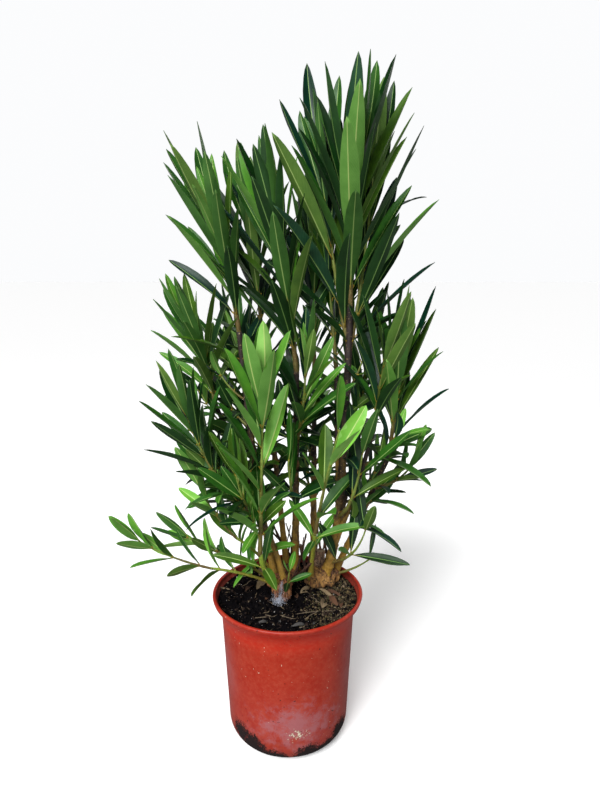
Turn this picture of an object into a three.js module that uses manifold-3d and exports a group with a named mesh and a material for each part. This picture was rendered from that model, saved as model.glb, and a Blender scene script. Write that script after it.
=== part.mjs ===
// A potted oleander: a many-stemmed shrub on two woody stools, in a round plastic nursery pot.
// Millimetres, +Z up. The origin is the middle of the pot's flat underside, and -Y is the front.
import * as THREE from "three";
import { mergeVertices } from "three/addons/utils/BufferGeometryUtils.js";
import Module from "manifold-3d";

const wasm = await Module();
wasm.setup();

// Driving dimensions
const GAP = 0.3; // air left between two pieces that touch on the real plant
const POT = {
  height: 223,
  rimRadius: 110,
  rimBead: 3.1, // radius of the rolled edge
  rimOverhang: 1.2, // how far the rolled edge stands out of the wall under it
  flareFoot: 188, // height at which the straight wall opens into the rim
  flareTop: 217,
  neckRadius: 97, // outer radius at the flare's foot
  heelRadius: 89.5, // outer radius where the wall turns in to the base
  heelHeight: 26,
  baseRadius: 68,
  wall: 3,
  sides: 24,
  heelSteps: 3,
  flareSteps: 3,
  rimSteps: 4,
};
const SOIL = {
  level: 215,
  edgeDrop: 3, // how much lower it is at the wall
  lip: 7, // how wide the slope down to the wall is
};
const LIMB = { sides: 5, steps: 6 };
const TWIG = {
  sides: 3,
  stepLength: 45,
  tipRadius: 0.9,
  leastFootRadius: 1.1,
  footShare: 0.018, // of the shoot's length, added to the least foot radius
};
const LEAF = {
  whorl: 3, // leaves at each node
  whorlTurn: 60, // degrees from one whorl to the next
  jitter: 8, // degrees
  thickness: 0.015, // of the length
  petioleWidth: 2,
  petioleDepth: 1.2,
  // Width along the blade, as shares of the widest, at these shares of the length
  stations: [0, 0.42, 1],
  widths: [0, 1, 0],
  rootInset: 0.5, // how far out from the stem's middle the root is, as a share of its radius
  leastSpread: 8, // degrees
  clearance: 0.4,
};
const WHORLS = {
  first: 0.14, // the lowest whorl's place, as a share of the shoot
  only: 0.96, // the same on a shoot with one whorl
  last: 0.975,
  crowding: 1.3, // over 1, the whorls stand closer towards the tip
  bend: [12, -18], // degrees that the lowest leaves bend over, and that the highest bend inwards
  endLeaf: 0.8, // length of the leaves at both ends of a shoot, as a share of the longest
  scatter: 0.07, // how far a leaf's length strays, as a share
  seed: 1000,
};

// The woody stools: the lobes of each, as middle and radii, all cut flat at the soil.
// Heights here and of every foot below are above the soil.
const STOOLS = {
  left_stool: [
    { middle: [-9, -13, 2], radii: [11, 10, 19] },
    { middle: [-10, 0, 16], radii: [18, 16, 15] },
    { middle: [-12, 26, 9], radii: [17, 20, 16] },
    { middle: [2, 49, 7], radii: [21, 17, 15] },
  ],
  right_stool: [
    { middle: [48, 28, 8], radii: [22, 17, 20] },
    { middle: [64, 42, 11], radii: [17, 16, 15] },
    { middle: [50, 60, 8], radii: [21, 16, 15] },
  ],
};

// The limbs: foot on a stool, or share of the way along a parent limb, then the far end.
// An end is across, back and up from the origin. Sweep is 0 for a limb that climbs first, 0.5 for a
// straight one and 1 for one that sets out sideways first. The radii are the foot's and the end's.
const LIMBS = [
  {
    name: "front_left_stem", on: "left_stool", foot: [-17, -7, 22], end: [-37, -46, 302],
    sweep: 0.7, radii: [4, 3.4],
  },
  {
    name: "left_outer_stem", on: "left_stool", foot: [-6, -2, 22], end: [-84, -22, 386],
    sweep: 0.25, radii: [4, 3],
  },
  {
    name: "left_main_stem", on: "left_stool", foot: [-19, 19, 15], end: [-66, 22, 600],
    sweep: 0.62, radii: [5.2, 3.4],
  },
  {
    name: "left_rear_stem", on: "left_stool", foot: [-13, 36, 15], end: [-106, 52, 490],
    sweep: 0.45, radii: [4.6, 3.2],
  },
  {
    name: "middle_stem", on: "left_stool", foot: [11, 46, 14], end: [13, 22, 545],
    sweep: 0.5, radii: [5.6, 3.8],
  },
  {
    name: "middle_rear_stem", on: "left_stool", foot: [-3, 60, 12], end: [-38, 74, 590],
    sweep: 0.5, radii: [4.8, 3.2],
  },
  {
    name: "rear_left_stem", on: "left_stool", foot: [-13, 52, 10], end: [-64, 128, 410],
    sweep: 0.7, radii: [4.4, 3.2],
  },
  {
    name: "low_left_stem", on: "left_stool", foot: [-23, 1, 16], end: [-108, -30, 272],
    sweep: 0.4, radii: [2.2, 1.8],
  },
  {
    name: "low_left_rear_stem", on: "left_stool", foot: [-24, 14, 12], end: [-96, 14, 272],
    sweep: 0.4, radii: [2, 1.7],
  },
  {
    name: "left_low_stem", on: "left_stool", foot: [-21, 28, 16], end: [-76, 2, 304],
    sweep: 0.4, radii: [2.3, 1.9],
  },
  {
    name: "front_right_stem", on: "right_stool", foot: [34, 20, 18], end: [39, -26, 324],
    sweep: 0.5, radii: [3.4, 2.8],
  },
  {
    name: "right_main_stem", on: "right_stool", foot: [56, 29, 16], end: [85, 6, 636],
    sweep: 0.86, radii: [7.6, 4.4],
  },
  {
    name: "right_stem", on: "right_stool", foot: [73, 42, 15], end: [146, 14, 426],
    sweep: 0.5, radii: [5, 3.3],
  },
  {
    name: "rear_stem", on: "right_stool", foot: [39, 66, 13], end: [40, 98, 520],
    sweep: 0.5, radii: [5.2, 3.5],
  },
  {
    name: "rear_right_stem", on: "right_stool", foot: [60, 67, 12], end: [112, 124, 430],
    sweep: 0.6, radii: [4.8, 3.3],
  },
  {
    name: "right_inner_stem", on: "right_main_stem", at: 0.24, end: [120, -8, 470],
    sweep: 0.55, radii: [3.8, 3],
  },
  {
    name: "middle_right_stem", on: "right_main_stem", at: 0.46, end: [70, 42, 545],
    sweep: 0.6, radii: [4, 3.3],
  },
];

// Old wood that was sawn off or died back on the right stool
const STUBS = [
  {
    name: "sawn_stub", on: "right_stool", foot: [47, 47, 14], end: [49, 50, 260],
    sweep: 0.5, radii: [8.6, 7.4],
  },
  {
    name: "dead_stub", on: "right_stool", foot: [65, 55, 12], end: [70, 60, 272],
    sweep: 0.5, radii: [6.2, 4.6],
  },
];

// The masses of leaves, each a shoot with whorls of leaves: where it grows from and where its tip
// is, how many whorls it has, its longest leaf and that leaf's width, how far its lowest and its
// highest leaves spread from it in degrees, and which way its first leaf turns.
const SHOOTS = [
  {
    name: "top_middle_leaves", on: "right_main_stem", at: 1, end: [84, -6, 790],
    sweep: 0.5, whorls: 8, leaf: 172, width: 30, spread: [29, 21], turn: 262,
  },
  {
    name: "top_left_leaves", on: "right_main_stem", at: 0.92, end: [49, 18, 806],
    sweep: 0.62, whorls: 8, leaf: 165, width: 27, spread: [35, 21], turn: 175,
  },
  {
    name: "top_right_leaves", on: "right_main_stem", at: 0.9, end: [112, 22, 782],
    sweep: 0.62, whorls: 8, leaf: 160, width: 27, spread: [31, 20], turn: 350,
  },
  {
    name: "middle_top_leaves", on: "middle_stem", at: 1, end: [-13, 12, 742],
    sweep: 0.42, whorls: 9, leaf: 140, width: 25, spread: [35, 20], turn: 262,
  },
  {
    name: "middle_left_top_leaves", on: "middle_rear_stem", at: 1, end: [-52, 70, 742],
    sweep: 0.4, whorls: 7, leaf: 134, width: 23, spread: [33, 20], turn: 200,
  },
  {
    name: "left_top_leaves", on: "left_main_stem", at: 1, end: [-93, 14, 742],
    sweep: 0.4, whorls: 8, leaf: 136, width: 24, spread: [39, 21], turn: 160,
  },
  {
    name: "middle_right_leaves", on: "middle_right_stem", at: 1, end: [58, 52, 676],
    sweep: 0.5, whorls: 6, leaf: 128, width: 23, spread: [37, 22], turn: 200,
  },
  {
    name: "rear_top_leaves", on: "rear_stem", at: 1, end: [38, 112, 706],
    sweep: 0.5, whorls: 7, leaf: 140, width: 24, spread: [37, 20], turn: 90,
  },
  {
    name: "left_middle_leaves", on: "left_rear_stem", at: 1, end: [-126, 44, 588],
    sweep: 0.4, whorls: 7, leaf: 112, width: 21, spread: [37, 21], turn: 150,
  },
  {
    name: "left_outer_leaves", on: "left_outer_stem", at: 1, end: [-134, -28, 496],
    sweep: 0.6, whorls: 7, leaf: 98, width: 20, spread: [41, 22], turn: 250,
  },
  {
    name: "front_left_leaves", on: "front_left_stem", at: 1, end: [-29, -64, 532],
    sweep: 0.55, whorls: 8, leaf: 116, width: 25, spread: [41, 22], turn: 235,
  },
  {
    name: "right_top_leaves", on: "right_stem", at: 1, end: [158, 6, 556],
    sweep: 0.4, whorls: 7, leaf: 122, width: 23, spread: [29, 18], turn: 310,
  },
  {
    name: "right_middle_leaves", on: "right_inner_stem", at: 1, end: [130, -14, 566],
    sweep: 0.45, whorls: 6, leaf: 120, width: 24, spread: [37, 20], turn: 280,
  },
  {
    name: "rear_right_leaves", on: "rear_right_stem", at: 1, end: [124, 132, 560],
    sweep: 0.45, whorls: 6, leaf: 118, width: 22, spread: [37, 20], turn: 60,
  },
  {
    name: "rear_left_leaves", on: "rear_left_stem", at: 1, end: [-80, 138, 560],
    sweep: 0.45, whorls: 6, leaf: 120, width: 22, spread: [39, 20], turn: 120,
  },
  {
    name: "front_right_leaves", on: "front_right_stem", at: 1, end: [69, -58, 482],
    sweep: 0.45, whorls: 5, leaf: 92, width: 25, spread: [39, 22], turn: 285,
  },
  {
    name: "middle_front_leaves", on: "middle_stem", at: 0.66, end: [26, -22, 560],
    sweep: 0.7, whorls: 5, leaf: 108, width: 22, spread: [41, 22], turn: 300,
  },
  {
    name: "middle_low_leaves", on: "middle_stem", at: 0.36, end: [2, -24, 430],
    sweep: 0.7, whorls: 4, leaf: 86, width: 18, spread: [47, 26], turn: 250,
  },
  {
    name: "left_inner_leaves", on: "left_outer_stem", at: 0.66, end: [-66, -56, 420],
    sweep: 0.7, whorls: 4, leaf: 84, width: 21, spread: [49, 28], turn: 210,
  },
  {
    name: "right_inner_leaves", on: "right_main_stem", at: 0.42, end: [102, -36, 446],
    sweep: 0.75, whorls: 4, leaf: 96, width: 22, spread: [55, 38], turn: 330,
  },
  {
    name: "right_low_leaves", on: "right_main_stem", at: 0.15, end: [110, -26, 330],
    sweep: 0.75, whorls: 4, leaf: 84, width: 19, spread: [60, 40], turn: 300,
  },
  {
    name: "right_outer_leaves", on: "right_stem", at: 0.72, end: [178, -2, 420],
    sweep: 0.7, whorls: 4, leaf: 64, width: 16, spread: [48, 22], turn: 330,
  },
  {
    name: "rear_low_right_leaves", on: "rear_right_stem", at: 0.5, end: [136, 92, 372],
    sweep: 0.75, whorls: 4, leaf: 78, width: 16, spread: [52, 28], turn: 20,
  },
  {
    name: "rear_low_left_leaves", on: "rear_left_stem", at: 0.5, end: [-108, 92, 366],
    sweep: 0.75, whorls: 4, leaf: 78, width: 16, spread: [52, 28], turn: 140,
  },
  {
    name: "rear_low_leaves", on: "rear_stem", at: 0.3, end: [28, 152, 378],
    sweep: 0.75, whorls: 4, leaf: 84, width: 18, spread: [52, 28], turn: 90,
  },
  {
    name: "low_left_leaves", on: "low_left_stem", at: 1, end: [-202, -50, 324],
    sweep: 0.6, whorls: 4, leaf: 62, width: 17, spread: [38, 28], turn: 150,
  },
  {
    name: "low_left_rear_leaves", on: "low_left_rear_stem", at: 1, end: [-148, 16, 298],
    sweep: 0.6, whorls: 3, leaf: 66, width: 16, spread: [44, 32], turn: 70,
  },
  {
    name: "left_low_leaves", on: "left_low_stem", at: 1, end: [-124, -6, 386],
    sweep: 0.6, whorls: 4, leaf: 74, width: 17, spread: [48, 26], turn: 200,
  },
  {
    name: "low_right_leaves", on: "right_stool", foot: [76, 32, 16], end: [122, 14, 264],
    sweep: 0.6, whorls: 1, leaf: 54, width: 11, spread: [60, 60], turn: 0,
  },
  {
    name: "stool_sprout_leaves", on: "left_stool", foot: [0, -8, 20], end: [3, -20, 262],
    sweep: 0.5, whorls: 2, leaf: 38, width: 11, spread: [62, 40], turn: 20,
  },
];

// Colours, from the photograph
const COLOURS = {
  pot: 0xb8402a,
  soil: 0x1c1714,
  stool: 0x8a5c36,
  deadWood: 0x7d6656,
  bark: 0x5b4a22,
  youngBark: 0x7f8a24,
  leaf: 0x35602a,
  youngLeaf: 0x67983f,
};
const YOUNG = ["front_left", "front_right", "low_left", "low_left_rear", "left_low", "stool_sprout"];

const MERGE = 1e-3; // corners closer than this are one corner
const radians = THREE.MathUtils.degToRad;
const lerp = THREE.MathUtils.lerp;

// A repeatable stream of numbers from 0 to 1
function seededNumbers(seed) {
  let state = seed >>> 0;
  return () => {
    state = (state + 0x6d2b79f5) >>> 0;
    let mixed = Math.imul(state ^ (state >>> 15), state | 1);
    mixed ^= mixed + Math.imul(mixed ^ (mixed >>> 7), mixed | 61);
    return ((mixed ^ (mixed >>> 14)) >>> 0) / 2 ** 32;
  };
}

// A geometry's triangles, with shared corners merged and flat slivers dropped
function cleanGeometry(geometry) {
  const bare = geometry.clone();
  bare.deleteAttribute("normal");
  bare.deleteAttribute("uv");
  const merged = mergeVertices(bare, MERGE);
  const index = Array.from(merged.index.array);
  const kept = [];
  for (let i = 0; i < index.length; i += 3) {
    const [a, b, c] = index.slice(i, i + 3);
    if (a !== b && b !== c && c !== a) kept.push(a, b, c);
  }
  merged.setIndex(kept);
  return merged;
}

function solidOf(geometry) {
  const clean = cleanGeometry(geometry);
  return new wasm.Manifold(
    new wasm.Mesh({
      numProp: 3,
      vertProperties: new Float32Array(clean.attributes.position.array),
      triVerts: new Uint32Array(clean.index.array),
    }),
  );
}

// The largest body of a solid: a loose scrap or a sealed hollow is dropped
function mainBody(solid) {
  const bodies = solid.decompose();
  return bodies.reduce((best, body) => (body.volume() > best.volume() ? body : best));
}

function geometryOf(solid) {
  const mesh = solid.getMesh();
  const geometry = new THREE.BufferGeometry();
  const places = new Float32Array(mesh.vertProperties);
  geometry.setAttribute("position", new THREE.BufferAttribute(places, 3));
  geometry.setIndex(new THREE.BufferAttribute(new Uint32Array(mesh.triVerts), 1));
  geometry.computeVertexNormals();
  return geometry;
}

// Lathes: a profile of radius and height, turned about the vertical axis
function turned(profile) {
  const points = profile.map(([radius, height]) => new THREE.Vector2(radius, height));
  return new THREE.LatheGeometry(points, POT.sides).rotateX(Math.PI / 2);
}

// Points on an arc about a middle, from one angle to another, in degrees
function arc([middleRadius, middleHeight], [wide, tall], from, to, steps) {
  const points = [];
  for (let i = 0; i <= steps; i += 1) {
    const angle = radians(lerp(from, to, i / steps));
    points.push([middleRadius + wide * Math.cos(angle), middleHeight + tall * Math.sin(angle)]);
  }
  return points;
}

// The outer wall's radius at a height in the flare, which opens as the square of the height
function flareRadius(height) {
  const share = (height - POT.flareFoot) / (POT.flareTop - POT.flareFoot);
  return lerp(POT.neckRadius, POT.rimRadius - POT.rimOverhang, share ** 2);
}

// The pot's outer wall from the base's edge to just under the rolled rim, drawn in by an inset
function wallProfile(inset, top) {
  const heelRadii = [POT.heelRadius - POT.baseRadius - inset, POT.heelHeight - inset];
  const heel = arc([POT.baseRadius, POT.heelHeight], heelRadii, -90, 0, POT.heelSteps);
  const flare = [];
  for (let i = 0; i <= POT.flareSteps; i += 1) {
    const height = lerp(POT.flareFoot, top, i / POT.flareSteps);
    flare.push([flareRadius(height) - inset, height]);
  }
  return [...heel, ...flare];
}

function potGeometry() {
  const rimMiddle = [POT.rimRadius - POT.rimBead, POT.height - POT.rimBead];
  const rim = arc(rimMiddle, [POT.rimBead, POT.rimBead], 0, 180, POT.rimSteps);
  const inner = wallProfile(POT.wall, POT.flareTop).reverse();
  return turned([[0, 0], ...wallProfile(0, POT.flareTop), ...rim, ...inner, [0, POT.wall]]);
}

function soilGeometry() {
  const wall = wallProfile(POT.wall + GAP, SOIL.level - SOIL.edgeDrop);
  const edgeRadius = wall[wall.length - 1][0];
  return turned([[0, POT.wall + GAP], ...wall, [edgeRadius - SOIL.lip, SOIL.level], [0, SOIL.level]]);
}

// Woody stools: stretched balls joined together and cut flat just above the soil
function stoolSolid(lobes, grown = 0) {
  const balls = lobes.map(({ middle, radii }) => {
    const ball = new THREE.IcosahedronGeometry(1, 1);
    ball.scale(radii[0] + grown, radii[1] + grown, radii[2] + grown);
    return solidOf(ball.translate(middle[0], middle[1], SOIL.level + middle[2]));
  });
  const joined = balls.reduce((whole, ball) => whole.add(ball));
  const wide = 2 * POT.rimRadius;
  const below = new THREE.BoxGeometry(wide, wide, wide).translate(0, 0, SOIL.level + GAP - wide / 2);
  return joined.subtract(solidOf(below));
}

// A stem's line: it sets out sideways or upwards by its sweep, and bends once on the way.
// A stem that isn't on a stool starts inside its parent limb and is cut clear of it later.
function stemCurve(from, { end, sweep }) {
  const to = new THREE.Vector3(...end);
  const way = to.clone().sub(from);
  const turn = from.clone().add(new THREE.Vector3(way.x * sweep, way.y * sweep, way.z * (1 - sweep)));
  return new THREE.QuadraticBezierCurve3(from, turn, to);
}

// Two directions square to a line and to each other. No stem here runs straight back.
function squareTo(direction) {
  const side = new THREE.Vector3(0, 1, 0).cross(direction).normalize();
  return { side, front: direction.clone().cross(side) };
}

// A round bar laid along a curve, its radius going evenly from the first to the second
function taperedBar(curve, [footRadius, tipRadius], sides, steps, grown = 0) {
  const bar = new THREE.CylinderGeometry(1, 1, 1, sides, steps);
  const places = bar.attributes.position;
  for (let i = 0; i < places.count; i += 1) {
    const share = places.getY(i) + 0.5;
    const direction = curve.getTangent(share);
    const { side, front } = squareTo(direction);
    const radius = lerp(footRadius, tipRadius, share) + grown;
    const point = curve.getPoint(share);
    point.addScaledVector(side, places.getZ(i) * radius);
    point.addScaledVector(front, places.getX(i) * radius);
    places.setXYZ(i, point.x, point.y, point.z);
  }
  return bar;
}

// A leaf's axes where it leaves its stem: along the blade, and square to its upper face
function leafAxes(stemDirection, turn, spread) {
  const { side, front } = squareTo(stemDirection);
  const mixed = (first, a, second, b) => first.clone().multiplyScalar(a).addScaledVector(second, b);
  const outward = mixed(side, Math.cos(turn), front, Math.sin(turn));
  const along = mixed(stemDirection, Math.cos(spread), outward, Math.sin(spread));
  const upper = mixed(stemDirection, Math.sin(spread), outward, -Math.cos(spread));
  return { along, upper, outward };
}

// A lance-shaped blade: a three-sided cone pressed flat, with its keel below, bent along its length
function leafGeometry({ base, along, upper, length, width, bend }, grown = 0) {
  const tipRow = LEAF.stations.length - 1;
  const across = upper.clone().cross(along);
  const blade = new THREE.ConeGeometry(1, 1, 3, tipRow);
  const places = blade.attributes.position;
  for (let i = 0; i < places.count; i += 1) {
    const row = Math.round((places.getY(i) + 0.5) * tipRow);
    const half = Math.max(LEAF.widths[row] * width, LEAF.petioleWidth) / 2 + grown;
    const depth = Math.max(LEAF.widths[row] * LEAF.thickness * length, LEAF.petioleDepth) + grown;
    // The cone's three corners are its keel, at z 1, and its two edges, at z -0.5
    const pointed = row === tipRow ? 0 : 1;
    const side = Math.sign(Math.round(places.getX(i) / MERGE)) * half * pointed;
    const below = (Math.max(places.getZ(i) + 0.5, 0) / 1.5) * depth * pointed;
    const angle = bend * LEAF.stations[row];
    const point = base.clone();
    point.addScaledVector(along, (length / bend) * Math.sin(angle) - below * Math.sin(angle));
    point.addScaledVector(upper, (length / bend) * (Math.cos(angle) - 1) - below * Math.cos(angle));
    point.addScaledVector(across, side);
    places.setXYZ(i, point.x, point.y, point.z);
  }
  return blade;
}

// What a leaf may touch: the triangles of a geometry and the box round them
function obstacleOf(geometry) {
  const clean = cleanGeometry(geometry);
  const places = clean.attributes.position;
  const cornerOf = (i) => new THREE.Vector3().fromBufferAttribute(places, i);
  const corners = Array.from(clean.index.array, cornerOf);
  const triangles = [];
  for (let i = 0; i < corners.length; i += 3) {
    triangles.push(new THREE.Triangle(...corners.slice(i, i + 3)));
  }
  return { triangles, box: new THREE.Box3().setFromPoints(corners) };
}

const ray = new THREE.Ray();
const reach = new THREE.Vector3();
const hit = new THREE.Vector3();

function edgeCrosses(from, to, triangles) {
  reach.copy(to).sub(from);
  const length = reach.length();
  ray.origin.copy(from);
  ray.direction.copy(reach).divideScalar(length);
  return triangles.some(({ a, b, c }) => {
    const found = ray.intersectTriangle(a, b, c, false, hit);
    return found !== null && hit.distanceTo(from) <= length;
  });
}

function anyEdgeCrosses(first, second) {
  return first.triangles.some(
    ({ a, b, c }) =>
      edgeCrosses(a, b, second.triangles) ||
      edgeCrosses(b, c, second.triangles) ||
      edgeCrosses(c, a, second.triangles),
  );
}

function touches(first, second) {
  if (!first.box.intersectsBox(second.box)) return false;
  return anyEdgeCrosses(first, second) || anyEdgeCrosses(second, first);
}

// A leaf that would touch something is turned about its stem or closed up to it, in this order
const WAYS_ROUND = [
  { turn: 0, spread: 0 },
  { turn: 16, spread: -4 },
  { turn: -16, spread: -4 },
  { turn: 30, spread: -10 },
  { turn: -30, spread: -10 },
  { turn: 8, spread: -16 },
];

// The rule for one leaf: its turn and spread in degrees, its length and how far it bends over.
// rise goes from 0 at the lowest whorl to 1 at the highest.
function leafPlan(shoot, node, k, rise, random) {
  const wander = () => LEAF.jitter * (2 * random() - 1);
  const turn = shoot.turn + node * LEAF.whorlTurn + (k * 360) / LEAF.whorl + wander();
  const spread = lerp(...shoot.spread, rise ** 0.8) + 0.6 * wander();
  const swell = Math.sin(Math.PI * lerp(0.2, 0.8, rise));
  const scatter = lerp(1 - WHORLS.scatter, 1 + WHORLS.scatter, random());
  const length = shoot.leaf * lerp(WHORLS.endLeaf, 1, swell) * scatter;
  const bend = radians(lerp(...WHORLS.bend, rise) + wander());
  return { turn, spread, length, bend };
}

// The leaves of one shoot, whorl by whorl from its foot to its tip
function shootLeaves(shoot, { curve, radii }, number, obstacles) {
  const random = seededNumbers(WHORLS.seed + number);
  const leaves = [];
  for (let node = 0; node < shoot.whorls; node += 1) {
    const rise = shoot.whorls > 1 ? node / (shoot.whorls - 1) : 1;
    const first = shoot.whorls > 1 ? WHORLS.first : WHORLS.only;
    const share = lerp(first, WHORLS.last, 1 - (1 - rise) ** WHORLS.crowding);
    const stem = curve.getTangent(share);
    for (let k = 0; k < LEAF.whorl; k += 1) {
      const { turn, spread, length, bend } = leafPlan(shoot, node, k, rise, random);
      const width = (shoot.width * length) / shoot.leaf;
      for (const way of WAYS_ROUND) {
        const opened = Math.max(spread + way.spread, LEAF.leastSpread);
        const { along, upper, outward } = leafAxes(stem, radians(turn + way.turn), radians(opened));
        const inset = LEAF.rootInset * lerp(...radii, share);
        const base = curve.getPoint(share).addScaledVector(outward, inset);
        const leaf = { base, along, upper, length, width, bend };
        const tested = obstacleOf(leafGeometry(leaf, LEAF.clearance));
        if (obstacles.some((other) => touches(tested, other))) continue;
        leaves.push(leaf);
        obstacles.push(obstacleOf(leafGeometry(leaf)));
        break;
      }
    }
  }
  return leaves;
}

// Build: pot and soil, stools, limbs, stubs and masses of leaves
const oleander = new THREE.Group();

function place(name, geometry, colour, roughness) {
  const material = new THREE.MeshStandardMaterial({ color: colour, roughness, metalness: 0 });
  const mesh = new THREE.Mesh(geometry, material);
  mesh.name = name;
  oleander.add(mesh);
}

const pot = potGeometry();
const soil = soilGeometry();
place("pot", pot, COLOURS.pot, 0.5);
place("soil", soil, COLOURS.soil, 0.95);

const grownSolids = {}; // each limb and stool a gap larger, to cut what grows from it clear
const curves = {};
const obstacles = [obstacleOf(pot), obstacleOf(soil)];

for (const [name, lobes] of Object.entries(STOOLS)) {
  const geometry = geometryOf(mainBody(stoolSolid(lobes)));
  grownSolids[name] = stoolSolid(lobes, GAP);
  obstacles.push(obstacleOf(geometry));
  place(name, geometry, COLOURS.stool, 0.85);
}

function startOf({ on, at, foot }) {
  return foot ? new THREE.Vector3(foot[0], foot[1], SOIL.level + foot[2]) : curves[on].getPoint(at);
}

for (const limb of [...LIMBS, ...STUBS]) {
  const curve = stemCurve(startOf(limb), limb);
  curves[limb.name] = curve;
  grownSolids[limb.name] = solidOf(taperedBar(curve, limb.radii, LIMB.sides, LIMB.steps, GAP));
  const whole = solidOf(taperedBar(curve, limb.radii, LIMB.sides, LIMB.steps));
  const geometry = geometryOf(mainBody(whole.subtract(grownSolids[limb.on])));
  obstacles.push(obstacleOf(geometry));
  const isStub = STUBS.includes(limb);
  const isYoung = YOUNG.includes(limb.name.replace("_stem", ""));
  const colour = isYoung ? COLOURS.youngBark : COLOURS.bark;
  place(limb.name, geometry, isStub ? COLOURS.deadWood : colour, 0.8);
}

const twigs = SHOOTS.map((shoot) => {
  const curve = stemCurve(startOf(shoot), shoot);
  const length = curve.getLength();
  const radii = [TWIG.leastFootRadius + TWIG.footShare * length, TWIG.tipRadius];
  const steps = Math.max(2, Math.round(length / TWIG.stepLength));
  return { curve, radii, bar: taperedBar(curve, radii, TWIG.sides, steps) };
});
const twigObstacles = twigs.map(({ bar }, owner) => ({ ...obstacleOf(bar), owner }));
const leafObstacles = [];

SHOOTS.forEach((shoot, number) => {
  const others = [
    ...obstacles,
    ...twigObstacles.filter(({ owner }) => owner !== number),
    ...leafObstacles,
  ];
  const leaves = shootLeaves(shoot, twigs[number], number, others);
  const blades = leaves.map((leaf) => leafGeometry(leaf));
  leafObstacles.push(...blades.map((blade) => obstacleOf(blade)));
  const twig = solidOf(twigs[number].bar);
  const joined = blades.reduce((whole, blade) => whole.add(solidOf(blade)), twig);
  const mass = mainBody(joined.subtract(grownSolids[shoot.on]));
  const isYoung = YOUNG.includes(shoot.name.replace("_leaves", ""));
  place(shoot.name, geometryOf(mass), isYoung ? COLOURS.youngLeaf : COLOURS.leaf, 0.55);
});

export default oleander;
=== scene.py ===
"""Looks of a potted oleander: a many-stemmed shrub on two woody stools, in a plastic nursery pot.

Everything is in metres, +Z up, with the origin in the middle of the pot's underside and -Y in
front. The shrub grows by one rule: stems are bent lines, each carries whorls of three leaves that
turn by 60 degrees from one whorl to the next, and the leaves stand closer to the stem towards its
tip. The leaves that the solid masses kept are found again in them, and finer ones are added.
"""

import logging
from collections.abc import Callable, Sequence
from dataclasses import dataclass, field
from enum import IntEnum

import bpy
import numpy as np
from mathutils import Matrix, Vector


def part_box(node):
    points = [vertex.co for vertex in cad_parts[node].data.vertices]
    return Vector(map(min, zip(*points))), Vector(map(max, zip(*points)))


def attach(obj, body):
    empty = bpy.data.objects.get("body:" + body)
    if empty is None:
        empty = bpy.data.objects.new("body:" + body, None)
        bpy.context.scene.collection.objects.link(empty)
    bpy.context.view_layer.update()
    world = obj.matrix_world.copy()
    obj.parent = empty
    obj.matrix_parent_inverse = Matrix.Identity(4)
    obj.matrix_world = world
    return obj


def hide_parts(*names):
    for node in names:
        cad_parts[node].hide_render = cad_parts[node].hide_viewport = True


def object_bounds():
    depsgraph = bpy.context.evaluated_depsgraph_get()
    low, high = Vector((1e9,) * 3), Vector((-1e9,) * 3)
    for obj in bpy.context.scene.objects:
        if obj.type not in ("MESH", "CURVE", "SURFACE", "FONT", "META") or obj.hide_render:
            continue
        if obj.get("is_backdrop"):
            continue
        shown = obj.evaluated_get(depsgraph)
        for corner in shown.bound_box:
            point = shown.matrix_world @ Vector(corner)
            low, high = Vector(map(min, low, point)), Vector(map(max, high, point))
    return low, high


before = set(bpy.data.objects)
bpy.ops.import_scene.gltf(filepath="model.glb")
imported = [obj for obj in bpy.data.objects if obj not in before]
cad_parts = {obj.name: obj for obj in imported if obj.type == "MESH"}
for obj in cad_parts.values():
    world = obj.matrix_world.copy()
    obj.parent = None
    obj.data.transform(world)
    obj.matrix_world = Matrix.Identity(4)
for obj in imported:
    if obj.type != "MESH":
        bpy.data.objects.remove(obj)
cad_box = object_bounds()

log = logging.getLogger("oleander")

Array = np.ndarray
Colour = tuple[float, float, float]
Vector3 = tuple[float, float, float]
Pair = tuple[float, float]
Feeds = dict[str | int, object]
BODY = "root"
FULL_TURN = 2 * np.pi


# Small sums


def srgb(red: int, green: int, blue: int) -> Colour:
    """Turns a screen colour, 0 to 255 in each channel, into the linear colour a shader takes.

    Args:
        red: its red.
        green: its green.
        blue: its blue.

    Returns:
        The linear colour.
    """
    share = np.array([red, green, blue]) / 255
    linear = np.where(share <= 0.04045, share / 12.92, ((share + 0.055) / 1.055) ** 2.4)
    return tuple(float(x) for x in linear)


def lerp(low: float | Array, high: float | Array, share: float | Array) -> float | Array:
    """Goes from low to high as share goes from 0 to 1."""
    return low + (high - low) * share


def unit(vectors: Array) -> Array:
    """Scales vectors, along the last axis, to a length of 1."""
    return vectors / np.linalg.norm(vectors, axis=-1, keepdims=True)


def column(values: Array) -> Array:
    """Adds a last axis, so that a row of numbers can multiply a row of vectors."""
    return np.asarray(values)[..., None]


def ripple(points: Array, size: float, seed: int, waves: int = 14) -> Array:
    """Smooth relief between about -1 and 1, the same for the same place.

    It is the sum of plane waves sin(k . p + phase) in seeded directions, over the root of their
    number.

    Args:
        points: places, in metres, along the last axis.
        size: the width of a typical bump, in metres.
        seed: picks another relief of the same size.
        waves: how many waves are added up.

    Returns:
        One height for each point.
    """
    numbers = np.random.default_rng(seed)
    ways = unit(numbers.normal(size=(waves, 3))) * numbers.uniform(0.6, 1.5, (waves, 1))
    phases = numbers.uniform(0, FULL_TURN, waves)
    return np.sin(points @ ways.T * (np.pi / size) + phases).sum(-1) / np.sqrt(waves)


# Meshes


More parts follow.
